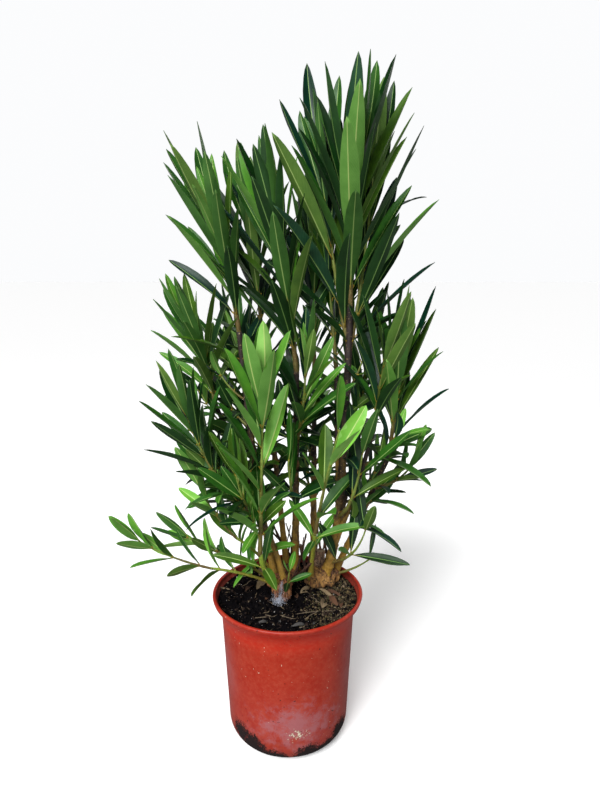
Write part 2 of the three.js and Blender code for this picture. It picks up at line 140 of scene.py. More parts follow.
@dataclass
class Patch:
    """A lump of four-cornered faces, with the finish and the two maps of each.

    Attributes:
        points: corners, (n, 3).
        faces: corner numbers of each face, (m, 4).
        finish: which of the piece's finishes each face takes, (m,).
        pattern: each face corner's place in its own pattern, (m, 4, 2).
        spread: each face corner's place on its unrolled shape, 0 to 1, (m, 4, 2).
        island: which shape each face belongs to, (m,).
        sharp: pairs of corners that a hard edge joins, (k, 2).
    """

    points: Array
    faces: Array
    finish: Array
    pattern: Array
    spread: Array
    island: Array
    sharp: Array

    @staticmethod
    def joined(patches: Sequence["Patch"]) -> "Patch":
        """Puts several lumps in one, with corner and shape numbers counted on.

        Args:
            patches: the lumps, in order.

        Returns:
            One lump.
        """
        corners = np.cumsum([0] + [len(p.points) for p in patches])
        islands = np.cumsum([0] + [int(p.island.max()) + 1 for p in patches])
        counted = {"faces": corners, "sharp": corners, "island": islands}
        parts = []
        for name in Patch.__dataclass_fields__:
            firsts = counted.get(name, 0 * corners)
            parts.append(np.concatenate([getattr(p, name) + n for p, n in zip(patches, firsts)]))
        return Patch(*parts)


def tubes(
    rings: Array,
    finish: Array | int = 0,
    around: Array | None = None,
    along: Array | None = None,
    hard_lines: Sequence[int] = (),
    hard_rows: Sequence[int] = (),
) -> Patch:
    """Closes rings of points into tubes, each end shut by a fan of four-cornered faces.

    Args:
        rings: corners, (tubes, rows, ring, 3), anticlockwise as seen from the last row. An even
            ring closes each end in full, and an odd one leaves a gap of one triangle.
        finish: finish of the faces, a number or anything that spreads to (tubes, rows - 1, ring).
        around: pattern place of the ring points and of the first again, (ring + 1,).
        along: pattern place of the rows, (tubes, rows) or (rows,).
        hard_lines: ring points whose lengthwise edges are hard.
        hard_rows: rows whose edges are hard.

    Returns:
        The lump, one shape for each tube.
    """
    count, rows, ring, _ = rings.shape
    around = np.linspace(0, 1, ring + 1) if around is None else around
    along = np.linspace(0, 1, rows) if along is None else along
    number = np.arange(count * rows * ring).reshape(count, rows, ring)
    closed = np.concatenate([number, number[..., :1]], axis=2)
    lengthwise = np.broadcast_to(along, (count, rows))[..., None]
    unrolled, risen = np.linspace(0, 1, ring + 1), np.linspace(0, 1, rows)[:, None]
    maps = [np.broadcast_to(x, closed.shape) for x in (around, lengthwise, unrolled, risen)]
    values = np.stack([closed, *maps], axis=-1)
    low, high = values[:, :-1], values[:, 1:]
    walls = np.stack([low[:, :, :-1], low[:, :, 1:], high[:, :, 1:], high[:, :, :-1]], axis=3)
    wall_finish = np.broadcast_to(finish, (count, rows - 1, ring))

    step = np.arange(ring // 2 - 1)
    fan = np.stack([step, step + 1, ring - 2 - step, ring - 1 - step], axis=-1)
    loops = [walls.reshape(-1, 4, 5)]
    finishes = [wall_finish.reshape(-1)]
    islands = [np.repeat(np.arange(count), (rows - 1) * ring)]
    for row, order, beside in ((0, fan[:, ::-1], 0), (rows - 1, fan, rows - 2)):
        loops.append(values[:, row][:, order].reshape(-1, 4, 5))
        finishes.append(np.repeat(wall_finish[:, beside, 0], len(fan)))
        islands.append(np.repeat(np.arange(count), len(fan)))
    corners = np.concatenate(loops)

    hard = [np.zeros((0, 2), int)]
    for line in hard_lines:
        hard.append(np.stack([number[:, :-1, line], number[:, 1:, line]], -1).reshape(-1, 2))
    for row in hard_rows:
        hard.append(np.stack([closed[:, row, :-1], closed[:, row, 1:]], -1).reshape(-1, 2))
    return Patch(
        points=rings.reshape(-1, 3),
        faces=corners[..., 0].astype(int),
        finish=np.concatenate(finishes),
        pattern=corners[..., 1:3],
        spread=corners[..., 3:5],
        island=np.concatenate(islands),
        sharp=np.concatenate(hard),
    )


def circle(ring: int) -> Array:
    """The angles of a ring's points."""
    return np.arange(ring) * FULL_TURN / ring


def turned(profile: Array, ring: int, relief: Callable[[Array], Array] | None = None) -> Array:
    """Rings of a shape turned about the vertical axis.

    The point at angle a of a row is (r cos a, r sin a, z), with r and z from the profile.

    Args:
        profile: radius and height of each row, (rows, 2), from the underside up the outside.
        ring: how many points each ring has.
        relief: what is added to the radius, from the points before it.

    Returns:
        Corners for tubes, (1, rows, ring, 3).
    """
    angle = circle(ring)
    ways = np.stack([np.cos(angle), np.sin(angle), np.zeros(ring)], axis=-1)
    upright = np.array([0.0, 0.0, 1.0])
    points = profile[:, None, None, 0] * ways + profile[:, None, None, 1] * upright
    if relief is not None:
        points = points + column(relief(points)) * ways
    return points[None]


@dataclass(frozen=True)
class Piece:
    """One named piece of the dressed shrub.

    Attributes:
        name: the piece's name.
        nodes: the solids that it stands for.
        slot: name of a material slot in the record; not used.
        finishes: what its faces are made of, by finish number.
    """

    name: str
    nodes: tuple[str, ...]
    slot: str
    finishes: tuple["Finish", ...]

    def build(self, patch: Patch) -> bpy.types.Object:
        """Makes the mesh, dresses it and seats it on the body.

        Args:
            patch: the lump of faces, in place.

        Returns:
            The finished object, at the origin.
        """
        mesh = bpy.data.meshes.new(self.name)
        mesh.from_pydata(patch.points.tolist(), [], patch.faces.tolist())
        for finish in self.finishes:
            mesh.materials.append(finish.material())
        mesh.polygons.foreach_set("material_index", patch.finish.astype(np.int32))
        mesh.polygons.foreach_set("use_smooth", np.ones(len(patch.faces), bool))
        self._map(mesh, "Pattern", patch.pattern)
        self._map(mesh, "OFBake", self._cells(patch))
        self._harden(mesh, patch)
        mesh.update()
        made = bpy.data.objects.new(self.name, mesh)
        bpy.context.scene.collection.objects.link(made)
        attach(made, BODY)
        self.slot
        if self.nodes:
            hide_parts(*self.nodes)
        log.info("%s: %d faces, stands for %d solids", self.name, len(patch.faces), len(self.nodes))
        return made

    @staticmethod
    def _map(mesh: bpy.types.Mesh, name: str, places: Array) -> None:
        """Adds a map of face corners to the mesh."""
        layer = mesh.uv_layers.new(name=name)
        layer.uv.foreach_set("vector", places.astype(np.float32).ravel())

    @staticmethod
    def _cells(patch: Patch) -> Array:
        """Lays the unrolled shapes out side by side, each in its own cell of a square grid.

        Args:
            patch: the lump of faces.

        Returns:
            Each face corner's place, (m, 4, 2).
        """
        count = int(patch.island.max()) + 1
        across = int(np.ceil(np.sqrt(count)))
        cell = np.stack([patch.island % across, patch.island // across], axis=-1)
        margin = 0.04
        inside = margin + (1 - 2 * margin) * patch.spread
        return (cell[:, None] + inside) / across

    @staticmethod
    def _harden(mesh: bpy.types.Mesh, patch: Patch) -> None:
        """Marks the patch's hard edges in the mesh.

        Args:
            mesh: the mesh.
            patch: the lump that it was made from.
        """
        if not len(patch.sharp):
            return
        ends = np.empty(2 * len(mesh.edges), np.int32)
        mesh.edges.foreach_get("vertices", ends)
        ends = np.sort(ends.reshape(-1, 2), axis=1).astype(np.int64)
        wanted = np.sort(patch.sharp, axis=1).astype(np.int64)
        total = len(patch.points)
        hard = np.isin(ends @ [total, 1], wanted @ [total, 1])
        mark = mesh.attributes.new("sharp_edge", "BOOLEAN", "EDGE")
        mark.data.foreach_set("value", hard)


# Shader nodes


class Wire:
    """What a node's output carries. Sums that are written with wires add Math nodes."""

    def __init__(self, bench: "Bench", socket: bpy.types.NodeSocket) -> None:
        """Takes an output of a node that stands on the bench."""
        self.bench = bench
        self.socket = socket

    def __add__(self, other: object) -> "Wire":
        """Their sum."""
        return self.bench.math("ADD", self, other)

    def __sub__(self, other: object) -> "Wire":
        """Their difference."""
        return self.bench.math("SUBTRACT", self, other)

    def __rsub__(self, other: float) -> "Wire":
        """What is left of a number."""
        return self.bench.math("SUBTRACT", other, self)

    def __mul__(self, other: object) -> "Wire":
        """Their product."""
        return self.bench.math("MULTIPLY", self, other)

    def __abs__(self) -> "Wire":
        """Its distance from 0."""
        return self.bench.math("ABSOLUTE", self)

    def held(self) -> "Wire":
        """The same, held between 0 and 1 by the node that it comes from."""
        self.socket.node.use_clamp = True
        return self


class Bench:
    """Places nodes in one shader tree and joins them."""

    def __init__(self, tree: bpy.types.NodeTree) -> None:
        """Works on the given tree."""
        self.tree = tree

    def node(self, kind: str, feeds: Feeds | None = None, **settings: object) -> bpy.types.Node:
        """Adds a node.

        Args:
            kind: the node's type name.
            feeds: what goes into its inputs, by name or number: a wire or a value.
            **settings: properties set on the node.

        Returns:
            The node.
        """
        made = self.tree.nodes.new(kind)
        for name, value in settings.items():
            setattr(made, name, value)
        for name, source in (feeds or {}).items():
            self.feed(made.inputs[name], source)
        return made

    def wire(
        self, kind: str, feeds: Feeds | None = None, output: str | int = 0, **settings: object
    ) -> Wire:
        """Adds a node as above, and returns the wire from one of its outputs."""
        return Wire(self, self.node(kind, feeds, **settings).outputs[output])

    def feed(self, socket: bpy.types.NodeSocket, source: object) -> None:
        """Joins a wire to an input, or sets the input to a plain value.

        Args:
            socket: the input.
            source: a wire or a value.
        """
        if isinstance(source, Wire):
            self.tree.links.new(source.socket, socket)
        elif isinstance(source, tuple) and socket.type == "RGBA":
            socket.default_value = (*source, 1.0)
        else:
            socket.default_value = source

    def math(self, operation: str, first: object, second: object = 0.0) -> Wire:
        """One step of arithmetic, such as ADD or MAXIMUM."""
        return self.wire("ShaderNodeMath", {0: first, 1: second}, operation=operation)

    def band(self, value: Wire, low: float, high: float) -> Wire:
        """Goes smoothly from 0 at low to 1 at high. Low may be above high.

        Args:
            value: what is followed.
            low: value that gives 0.
            high: value that gives 1.

        Returns:
            The share.
        """
        ends = {"From Min": low, "From Max": high}
        if low > high:
            ends = {"From Min": high, "From Max": low, "To Min": 1.0, "To Max": 0.0}
        feeds = {"Value": value, **ends}
        return self.wire("ShaderNodeMapRange", feeds, "Result", interpolation_type="SMOOTHSTEP")

    def blend(self, share: object, first: object, second: object) -> Wire:
        """A colour that goes from the first to the second with share."""
        return self.wire("ShaderNodeMix", {0: share, 6: first, 7: second}, 2, data_type="RGBA")

    def noise(self, place: Wire, scale: object, detail: float = 3.0, rough: float = 0.55) -> Wire:
        """Cloudy noise around 0.5."""
        feeds = {"Vector": place, "Scale": scale, "Detail": detail, "Roughness": rough}
        return self.wire("ShaderNodeTexNoise", feeds)

    def bump(self, height: Wire, depth: float) -> Wire:
        """The normal for a height from 0 to 1 that stands for a depth in metres."""
        return self.wire("ShaderNodeBump", {"Height": height, "Distance": depth, "Strength": 1.0})

    def axis(self, vector: Wire, number: int) -> Wire:
        """One coordinate of a vector."""
        return self.wire("ShaderNodeSeparateXYZ", {0: vector}, number)

    def place(self) -> Wire:
        """Where each point is on the object."""
        return self.wire("ShaderNodeTexCoord", output="Object")

    def pattern(self) -> tuple[Wire, Wire]:
        """Where each point is in the piece's own pattern: across and along."""
        layer = self.wire("ShaderNodeUVMap", uv_map="Pattern")
        return self.axis(layer, 0), self.axis(layer, 1)


@dataclass(frozen=True)
class Effect:
    """A shader node group that several finishes share.

    Attributes:
        name: the group's name.
        inputs: default of each input, by name, where None stands for a vector.
        output: name of its one output, a number.
        fill: builds the inside from a bench and a wire for each input.
    """

    name: str
    inputs: dict[str, float | None]
    output: str
    fill: Callable[..., Wire]

    def tree(self) -> bpy.types.NodeTree:
        """The group, made once.

        Returns:
            The group.
        """
        found = bpy.data.node_groups.get(self.name)
        if found:
            return found
        tree = bpy.data.node_groups.new(self.name, "ShaderNodeTree")
        for label, value in self.inputs.items():
            kind = "NodeSocketVector" if value is None else "NodeSocketFloat"
            socket = tree.interface.new_socket(name=label, in_out="INPUT", socket_type=kind)
            if value is not None:
                socket.default_value = value
        tree.interface.new_socket(name=self.output, in_out="OUTPUT", socket_type="NodeSocketFloat")
        bench = Bench(tree)
        way_in = bench.node("NodeGroupInput").outputs
        result = self.fill(bench, *(Wire(bench, way_in[label]) for label in self.inputs))
        bench.node("NodeGroupOutput", {self.output: result})
        return tree

    def on(self, bench: Bench, *sources: object) -> Wire:
        """Places the group on a bench, with what goes into its inputs in turn."""
        return bench.wire("ShaderNodeGroup", dict(zip(self.inputs, sources)), node_tree=self.tree())


def blotches(bench: Bench, vector: Wire, scale: Wire, contrast: Wire) -> Wire:
    """Soft blotches: noise with its contrast raised about the middle."""
    return ((bench.noise(vector, scale, 4.0) - 0.5) * contrast + 0.5).held()


def slanted_veins(bench: Bench, across: Wire, along: Wire, count: Wire) -> Wire:
    """Side veins that leave the midrib at a slant: a sine of (along * count - 6 across)."""
    length = along * count - abs(across) * 6.0
    return (bench.math("SINE", length * FULL_TURN) + 1.0) * 0.5


def ridges(bench: Bench, vector: Wire, scale: Wire, depth: Wire) -> Wire:
    """Bark that splits lengthwise: noise pressed flat along Z and folded about its middle."""
    pressed = bench.wire("ShaderNodeVectorMath", {0: vector, 1: (1.0, 1.0, 0.28)}, operation="MULTIPLY")
    return (1.0 - abs(bench.noise(pressed, scale, 5.0, 0.62) - 0.5) * depth).held()


def splash(bench: Bench, vector: Wire, level: Wire, reach: Wire) -> Wire:
    """Dirt that clings above a level and thins out over a reach, with a ragged edge.

    Args:
        bench: where its nodes stand.
        vector: the place.
        level: height where the dirt begins to thin out.
        reach: height in which it does.

    Returns:
        The dirt, 0 to 1.
    """
    ragged = bench.noise(vector, 85.0, 2.0) * 3.4 + bench.noise(vector, 380.0, 7.0, 0.85) * 9.0
    risen = bench.math("DIVIDE", bench.axis(vector, 2) - level, reach)
    return bench.band(ragged - 5.9 - risen, -0.2, 1.1)


MOTTLING = Effect("mottling", {"Vector": None, "Scale": 50.0, "Contrast": 2.0}, "Mask", blotches)
VEINS = Effect("side veins", {"Across": 0.0, "Along": 0.0, "Count": 40.0}, "Height", slanted_veins)
RIDGES = Effect("bark ridges", {"Vector": None, "Scale": 300.0, "Depth": 5.0}, "Height", ridges)
SPLASH = Effect("soil splash", {"Vector": None, "Level": 0.0, "Reach": 0.02}, "Mask", splash)


# Finishes


@dataclass(frozen=True)
class Finish:
    """A surface: its name and how rough it is. Each kind adds its own nodes."""

    name: str
    roughness: float

    def material(self) -> bpy.types.Material:
        """The finish as a material, made once.

        Returns:
            The material.
        """
        found = bpy.data.materials.get(self.name)
        if found:
            return found
        made = bpy.data.materials.new(self.name)
        made.use_nodes = True
        bench = Bench(made.node_tree)
        surface = made.node_tree.nodes["Principled BSDF"]
        for name, source in {"Roughness": self.roughness, **self.dress(bench)}.items():
            bench.feed(surface.inputs[name], source)
        return made

    def dress(self, bench: Bench) -> dict[str, object]:
        """Adds the finish's own nodes, and says what goes into the shader's inputs, by name."""
        raise NotImplementedError


@dataclass(frozen=True)
class LeafSkin(Finish):
    """One face of a leaf: blotched green, paler by the midrib and the margin, finely veined."""

    colour: Colour
    shade: Colour
    pale: Colour
    vein_depth: float = 0.00005
    veins: float = 46.0

    def dress(self, bench: Bench) -> dict[str, object]:
        """Blotches, then veins, then the pale zones along midrib and margin.

        Args:
            bench: where its nodes stand.

        Returns:
            What feeds the shader, by input.
        """
        across, along = bench.pattern()
        blotch = MOTTLING.on(bench, bench.place(), 42.0, 2.6)
        vein = VEINS.on(bench, across, along, self.veins)
        near_rib = bench.band(abs(across), 0.2, 0.03) * 0.4
        near_edge = bench.band(abs(across), 0.9, 1.0) * 0.25
        green = bench.blend(blotch, self.colour, self.shade)
        veined = bench.blend(vein * 0.22, green, self.pale)
        return {
            "Base Color": bench.blend(bench.math("MAXIMUM", near_rib, near_edge), veined, self.pale),
            "Roughness": blotch * 0.12 + (self.roughness - 0.06),
            "Specular IOR Level": 0.26,
            "Normal": bench.bump(vein, self.vein_depth),
        }


@dataclass(frozen=True)
class RibSkin(Finish):
    """A midrib and leaf stalk: pale, warmer towards the stalk."""

    stalk: Colour
    rib: Colour

    def dress(self, bench: Bench) -> dict[str, object]:
        """Goes from the stalk's colour to the rib's over the first fifth.

        Args:
            bench: where its nodes stand.

        Returns:
            What feeds the shader, by input.
        """
        _, along = bench.pattern()
        blotch = MOTTLING.on(bench, bench.place(), 90.0, 2.0)
        share = bench.band(along, 0.03, 0.2) + blotch * 0.15
        return {
            "Base Color": bench.blend(share, self.stalk, self.rib),
            "Normal": bench.bump(blotch, 0.0001),
        }


@dataclass(frozen=True)
class StemBark(Finish):
    """Smooth bark that changes colour towards the tip, with pale pores and fine splits: young stems and
    twigs green towards it, and the old limbs darken towards it as painted shade among the leaves.

    The two colours are even where turn says, as a share of the way along the stem.
    """

    foot: Colour
    tip: Colour
    pore: Colour
    turn: float = 0.6

    def dress(self, bench: Bench) -> dict[str, object]:
        """The long change of colour, blotched, then splits and pores.

        Args:
            bench: where its nodes stand.

        Returns:
            What feeds the shader, by input.
        """
        _, along = bench.pattern()
        place = bench.place()
        ragged = along + (MOTTLING.on(bench, place, 70.0, 2.4) - 0.5) * 0.5
        length = bench.blend(bench.band(ragged, self.turn - 0.4, self.turn + 0.4), self.foot, self.tip)
        ridge = RIDGES.on(bench, place, 260.0, 4.0)
        dark = bench.blend(0.5, length, (0.02, 0.014, 0.008))
        split = bench.blend(bench.band(ridge, 0.86, 1.0), length, dark)
        pores = bench.band(bench.noise(place, 420.0, 1.0), 0.66, 0.72)
        return {
            "Base Color": bench.blend(pores, split, self.pore),
            "Normal": bench.bump(1.0 - ridge, 0.0004),
        }


@dataclass(frozen=True)
class OldWood(Finish):
    """Rough old bark or grey dead wood: ridged, cracked dark and dusted with soil at its foot."""

    colour: Colour
    light: Colour
    crack: Colour
    scale: float = 150.0
    level: float = 0.2

    def dress(self, bench: Bench) -> dict[str, object]:
        """Two barks mixed by blotches, with cracks between ridges and soil below.

        Args:
            bench: where its nodes stand.

        Returns:
            What feeds the shader, by input.
        """
        place = bench.place()
        ridge = RIDGES.on(bench, place, self.scale, 6.0)
        bark = bench.blend(MOTTLING.on(bench, place, 85.0, 3.2), self.colour, self.light)
        cracked = bench.blend(bench.band(ridge, 0.72, 0.98), bark, self.crack)
        soil = SPLASH.on(bench, place, self.level, 0.007)
        return {
            "Base Color": bench.blend(soil * 0.75, cracked, srgb(30, 23, 18)),
            "Normal": bench.bump(1.0 - ridge, 0.0014),
        }


@dataclass(frozen=True)
class SawnWood(Finish):
    """A weathered saw cut: grey-tan, with faint year rings."""

    colour: Colour
    ring: Colour
    middle: Vector3

    def dress(self, bench: Bench) -> dict[str, object]:
        """Rings about the middle of the cut, blurred by blotches.

        Args:
            bench: where its nodes stand.

        Returns:
            What feeds the shader, by input.
        """
        place = bench.place()
        feeds = {"Vector": place, "Location": tuple(-x for x in self.middle)}
        centred = bench.wire("ShaderNodeMapping", feeds)
        feeds = {"Vector": centred, "Scale": 260.0, "Distortion": 3.0, "Detail": 2.0}
        rings = bench.wire("ShaderNodeTexWave", feeds, 1, wave_type="RINGS", rings_direction="Z")
        share = (rings + MOTTLING.on(bench, place, 220.0, 2.5)) * 0.5
        return {
            "Base Color": bench.blend(share, self.colour, self.ring),
            "Normal": bench.bump(share, 0.0003),
        }


@dataclass(frozen=True)
class PotPlastic(Finish):
    """Satin nursery plastic: sun-faded, scuffed, specked, and stained with soil round its foot.

    Attributes:
        colour: most of the wall.
        deep: under the rim, where the sun has faded it less, and lightened there as painted light against
            the rim's shadow.
        faded: where it has gone chalky, and the colour of the painted sky reflections.
        flake: cream flakes and pale dots.
        grimy: darker towards the foot, and painted shade on the top of the lip.
        bleach_at: middle of the chalky patch.
        flakes_at: middle of the cream flakes.
        stains_at: middles of the soil stains.
        hazes_at: middles of the painted sky reflections on the left and right edges.
    """

    colour: Colour
    deep: Colour
    faded: Colour
    flake: Colour = (0.75, 0.62, 0.45)
    grimy: Colour = srgb(112, 22, 12)
    bleach_at: Vector3 = (0.0, 0.0, 0.0)
    flakes_at: Vector3 = (0.0, 0.0, 0.0)
    stains_at: tuple[Vector3, ...] = ()
    hazes_at: tuple[Vector3, ...] = ()

    @staticmethod
    def near(bench: Bench, middle: Vector3, stretch: Vector3) -> Wire:
        """Distance from a point, with the axes stretched, in reaches.

        Args:
            bench: where its nodes stand.
            middle: the point.
            stretch: length of a reach along each axis.

        Returns:
            The distance.
        """
        feeds = {"Vector": bench.place(), "Location": middle, "Scale": stretch}
        centred = bench.wire("ShaderNodeMapping", feeds, vector_type="TEXTURE")
        return bench.wire("ShaderNodeVectorMath", {0: centred}, 1, operation="LENGTH")

    def dress(self, bench: Bench) -> dict[str, object]:
        """Paints layer on layer: a less-faded band lightened as painted light under the rim, a darker foot
        and painted shade on the lip, dust and fading, painted sky reflections on the edges, a chalky patch,
        flakes, specks, soil.

        Args:
            bench: where its nodes stand.

        Returns:
            What feeds the shader, by input.
        """
        place = bench.place()
        height = bench.axis(place, 2)
        grain, dust = MOTTLING.on(bench, place, 420.0, 2.2), MOTTLING.on(bench, place, 160.0, 4.5)
        haze, cloud = MOTTLING.on(bench, place, 34.0, 3.4), MOTTLING.on(bench, place, 17.0, 2.6)
        # Darker towards the bottom of the wall, and painted shade on the top of the rolled lip, where the
        # light falls on it.
        foot = bench.band(height, 0.06, 0.01) * 0.6
        lip = bench.band(height, 0.2145, 0.2175) * 0.5
        layers = [
            # Under the rim: less faded, and lightened as painted light against the rim's shadow.
            (bench.band(height, 0.17, 0.215), self.deep),
            (bench.math("MAXIMUM", foot, lip), self.grimy),
            (dust * grain * 0.2, srgb(204, 112, 84)),
            (cloud * bench.band(height, 0.17, 0.05) * 0.16, self.faded),
            (haze * 0.2, srgb(186, 74, 50)),
        ]
        # Painted sky reflections down the left and right edges, in the faded colour.
        for spot in self.hazes_at:
            painted_reflection = bench.band(self.near(bench, spot, (0.034, 0.05, 0.085)), 1.2, 0.2)
            layers.append((painted_reflection * (haze * 0.3 + 0.14), self.faded))
        away = self.near(bench, self.bleach_at, (0.058, 0.06, 0.034))
        wiped = MOTTLING.on(bench, place, 75.0, 4.0)
        torn = away + (grain - 0.5) * 0.5 + (wiped - 0.5) * 0.75
        bleached = bench.band(torn, 1.3, 0.2) * 0.8
        round_flakes = bench.band(self.near(bench, self.flakes_at, (0.05, 0.05, 0.03)), 1.4, 0.0)
        flakes = bench.band(bench.noise(place, 230.0, 5.0, 0.75) * round_flakes, 0.5, 0.54)
        stains = 0.0
        for spot in self.stains_at:
            stain = bench.band(self.near(bench, spot, (0.034,) * 3), 1.2, 0.1)
            stains = bench.math("MAXIMUM", stains, stain)
        level = bench.math("MULTIPLY", stains, 0.078) - 0.018
        soil = SPLASH.on(bench, place, level, 0.02)
        layers += [
            (bleached, self.faded),
            (flakes, self.flake),
            (bench.band(bench.noise(place, 330.0, 1.0), 0.765, 0.79) * 0.7, self.flake),
            (bench.band(bench.noise(place, 190.0, 1.0), 0.25, 0.235) * 0.85, srgb(45, 14, 12)),
            (soil * 0.98, srgb(5, 4, 5)),
        ]
        base: object = self.colour
        for share, colour in layers:
            base = bench.blend(share, base, colour)
        return {
            "Base Color": base,
            "Roughness": bleached * 0.12 + self.roughness + grain * 0.08 + soil * 0.5,
            "Specular IOR Level": 0.34,
            "Normal": bench.bump(grain * 0.25 + soil * 0.8 + flakes, 0.00025),
        }


@dataclass(frozen=True)
class Loam(Finish):
    """Potting mix: near-black peat with brown bark fibre, and a mossy golden litter on one side."""

    peat: Colour
    fibre: Colour
    moss: Colour
    moss_from: float

    def dress(self, bench: Bench) -> dict[str, object]:
        """Peat and fibre mixed by fine noise, then moss to the right of a ragged line.

        Args:
            bench: where its nodes stand.

        Returns:
            What feeds the shader, by input.
        """
        place = bench.place()
        fine = MOTTLING.on(bench, place, 380.0, 4.0)
        ragged = bench.axis(place, 0) + (bench.noise(place, 45.0) - 0.5) * 0.09
        mossy = bench.band(ragged, self.moss_from, self.moss_from + 0.025)
        peat = bench.blend(fine * 0.6, self.peat, self.fibre)
        litter = bench.blend(fine, srgb(30, 25, 20), self.moss)
        return {
            "Base Color": bench.blend(mossy, peat, litter),
            "Specular IOR Level": 0.05,
            "Normal": bench.bump(bench.noise(place, 520.0, 4.0, 0.7), 0.0016),
        }


@dataclass(frozen=True)
class Crumb(Finish):
    """A small plain bit, such as bark, grit or a fibre, blotched so that no two look alike."""

    colour: Colour
    other: Colour
    shine: float = 0.15

    def dress(self, bench: Bench) -> dict[str, object]:
        """Two colours mixed by blotches, with the same blotches as relief.

        Args:
            bench: where its nodes stand.

        Returns:
            What feeds the shader, by input.
        """
        blotch = MOTTLING.on(bench, bench.place(), 240.0, 3.0)
        return {
            "Base Color": bench.blend(blotch, self.colour, self.other),
            "Specular IOR Level": self.shine,
            "Normal": bench.bump(blotch, 0.0003),
        }


# The rule of growth


class Crown(IntEnum):
    """The parts of the crown, each dressed as one piece."""

    TOP = 0
    MIDDLE = 1
    LEFT = 2
    RIGHT = 3
    REAR = 4
    FRONT = 5
    LOW = 6


class Tone(IntEnum):
    """How light a leaf is, from old shaded ones to new ones, with two hues of each older kind."""

    DEEP = 0
    TEAL = 1
    GREEN = 2
    OLIVE = 3
    FRESH = 4
    YOUNG = 5


class Seed(IntEnum):
    """Where each stream of random numbers starts. The solids are grown from the first."""

    SOLID = 1000
    KEPT = 2000
    BETWEEN = 3000
    BETWEEN_FORM = 3500
    TIP = 4000
    TIP_FORM = 5000
    OLDER = 6000
    OLDER_FORM = 6500
    SIDE = 7000
    SIDE_TWIG = 8000
    CRUMBS = 31
    DRY_LEAVES = 41
    THREADS = 51
    DEAD_TWIGS = 91
    DEAD_BARK = 900
    BARK = 30
    TWIG_BARK = 80


@dataclass(frozen=True)
class LimbPlan:
    """A limb: what it grows on, its far end and its radii at both ends.

    It sets out from a foot above the soil, or from a share of the way along its parent. Sweep is
    0 where it climbs first, 0.5 where it is straight and 1 where it sets out sideways first.
    """

    name: str
    on: str
    end: Vector3
    sweep: float
    radii: Pair
    foot: Vector3 | None = None
    at: float = 1.0
    crown: Crown = Crown.MIDDLE


@dataclass(frozen=True)
class ShootPlan:
    """A leafy shoot: its line as for a limb, its whorls, its longest leaf and how leaves spread."""

    name: str
    on: str
    end: Vector3
    sweep: float
    whorls: int
    leaf: float
    width: float
    spread: Pair
    turn: float
    foot: Vector3 | None = None
    at: float = 1.0
    crown: Crown = Crown.MIDDLE


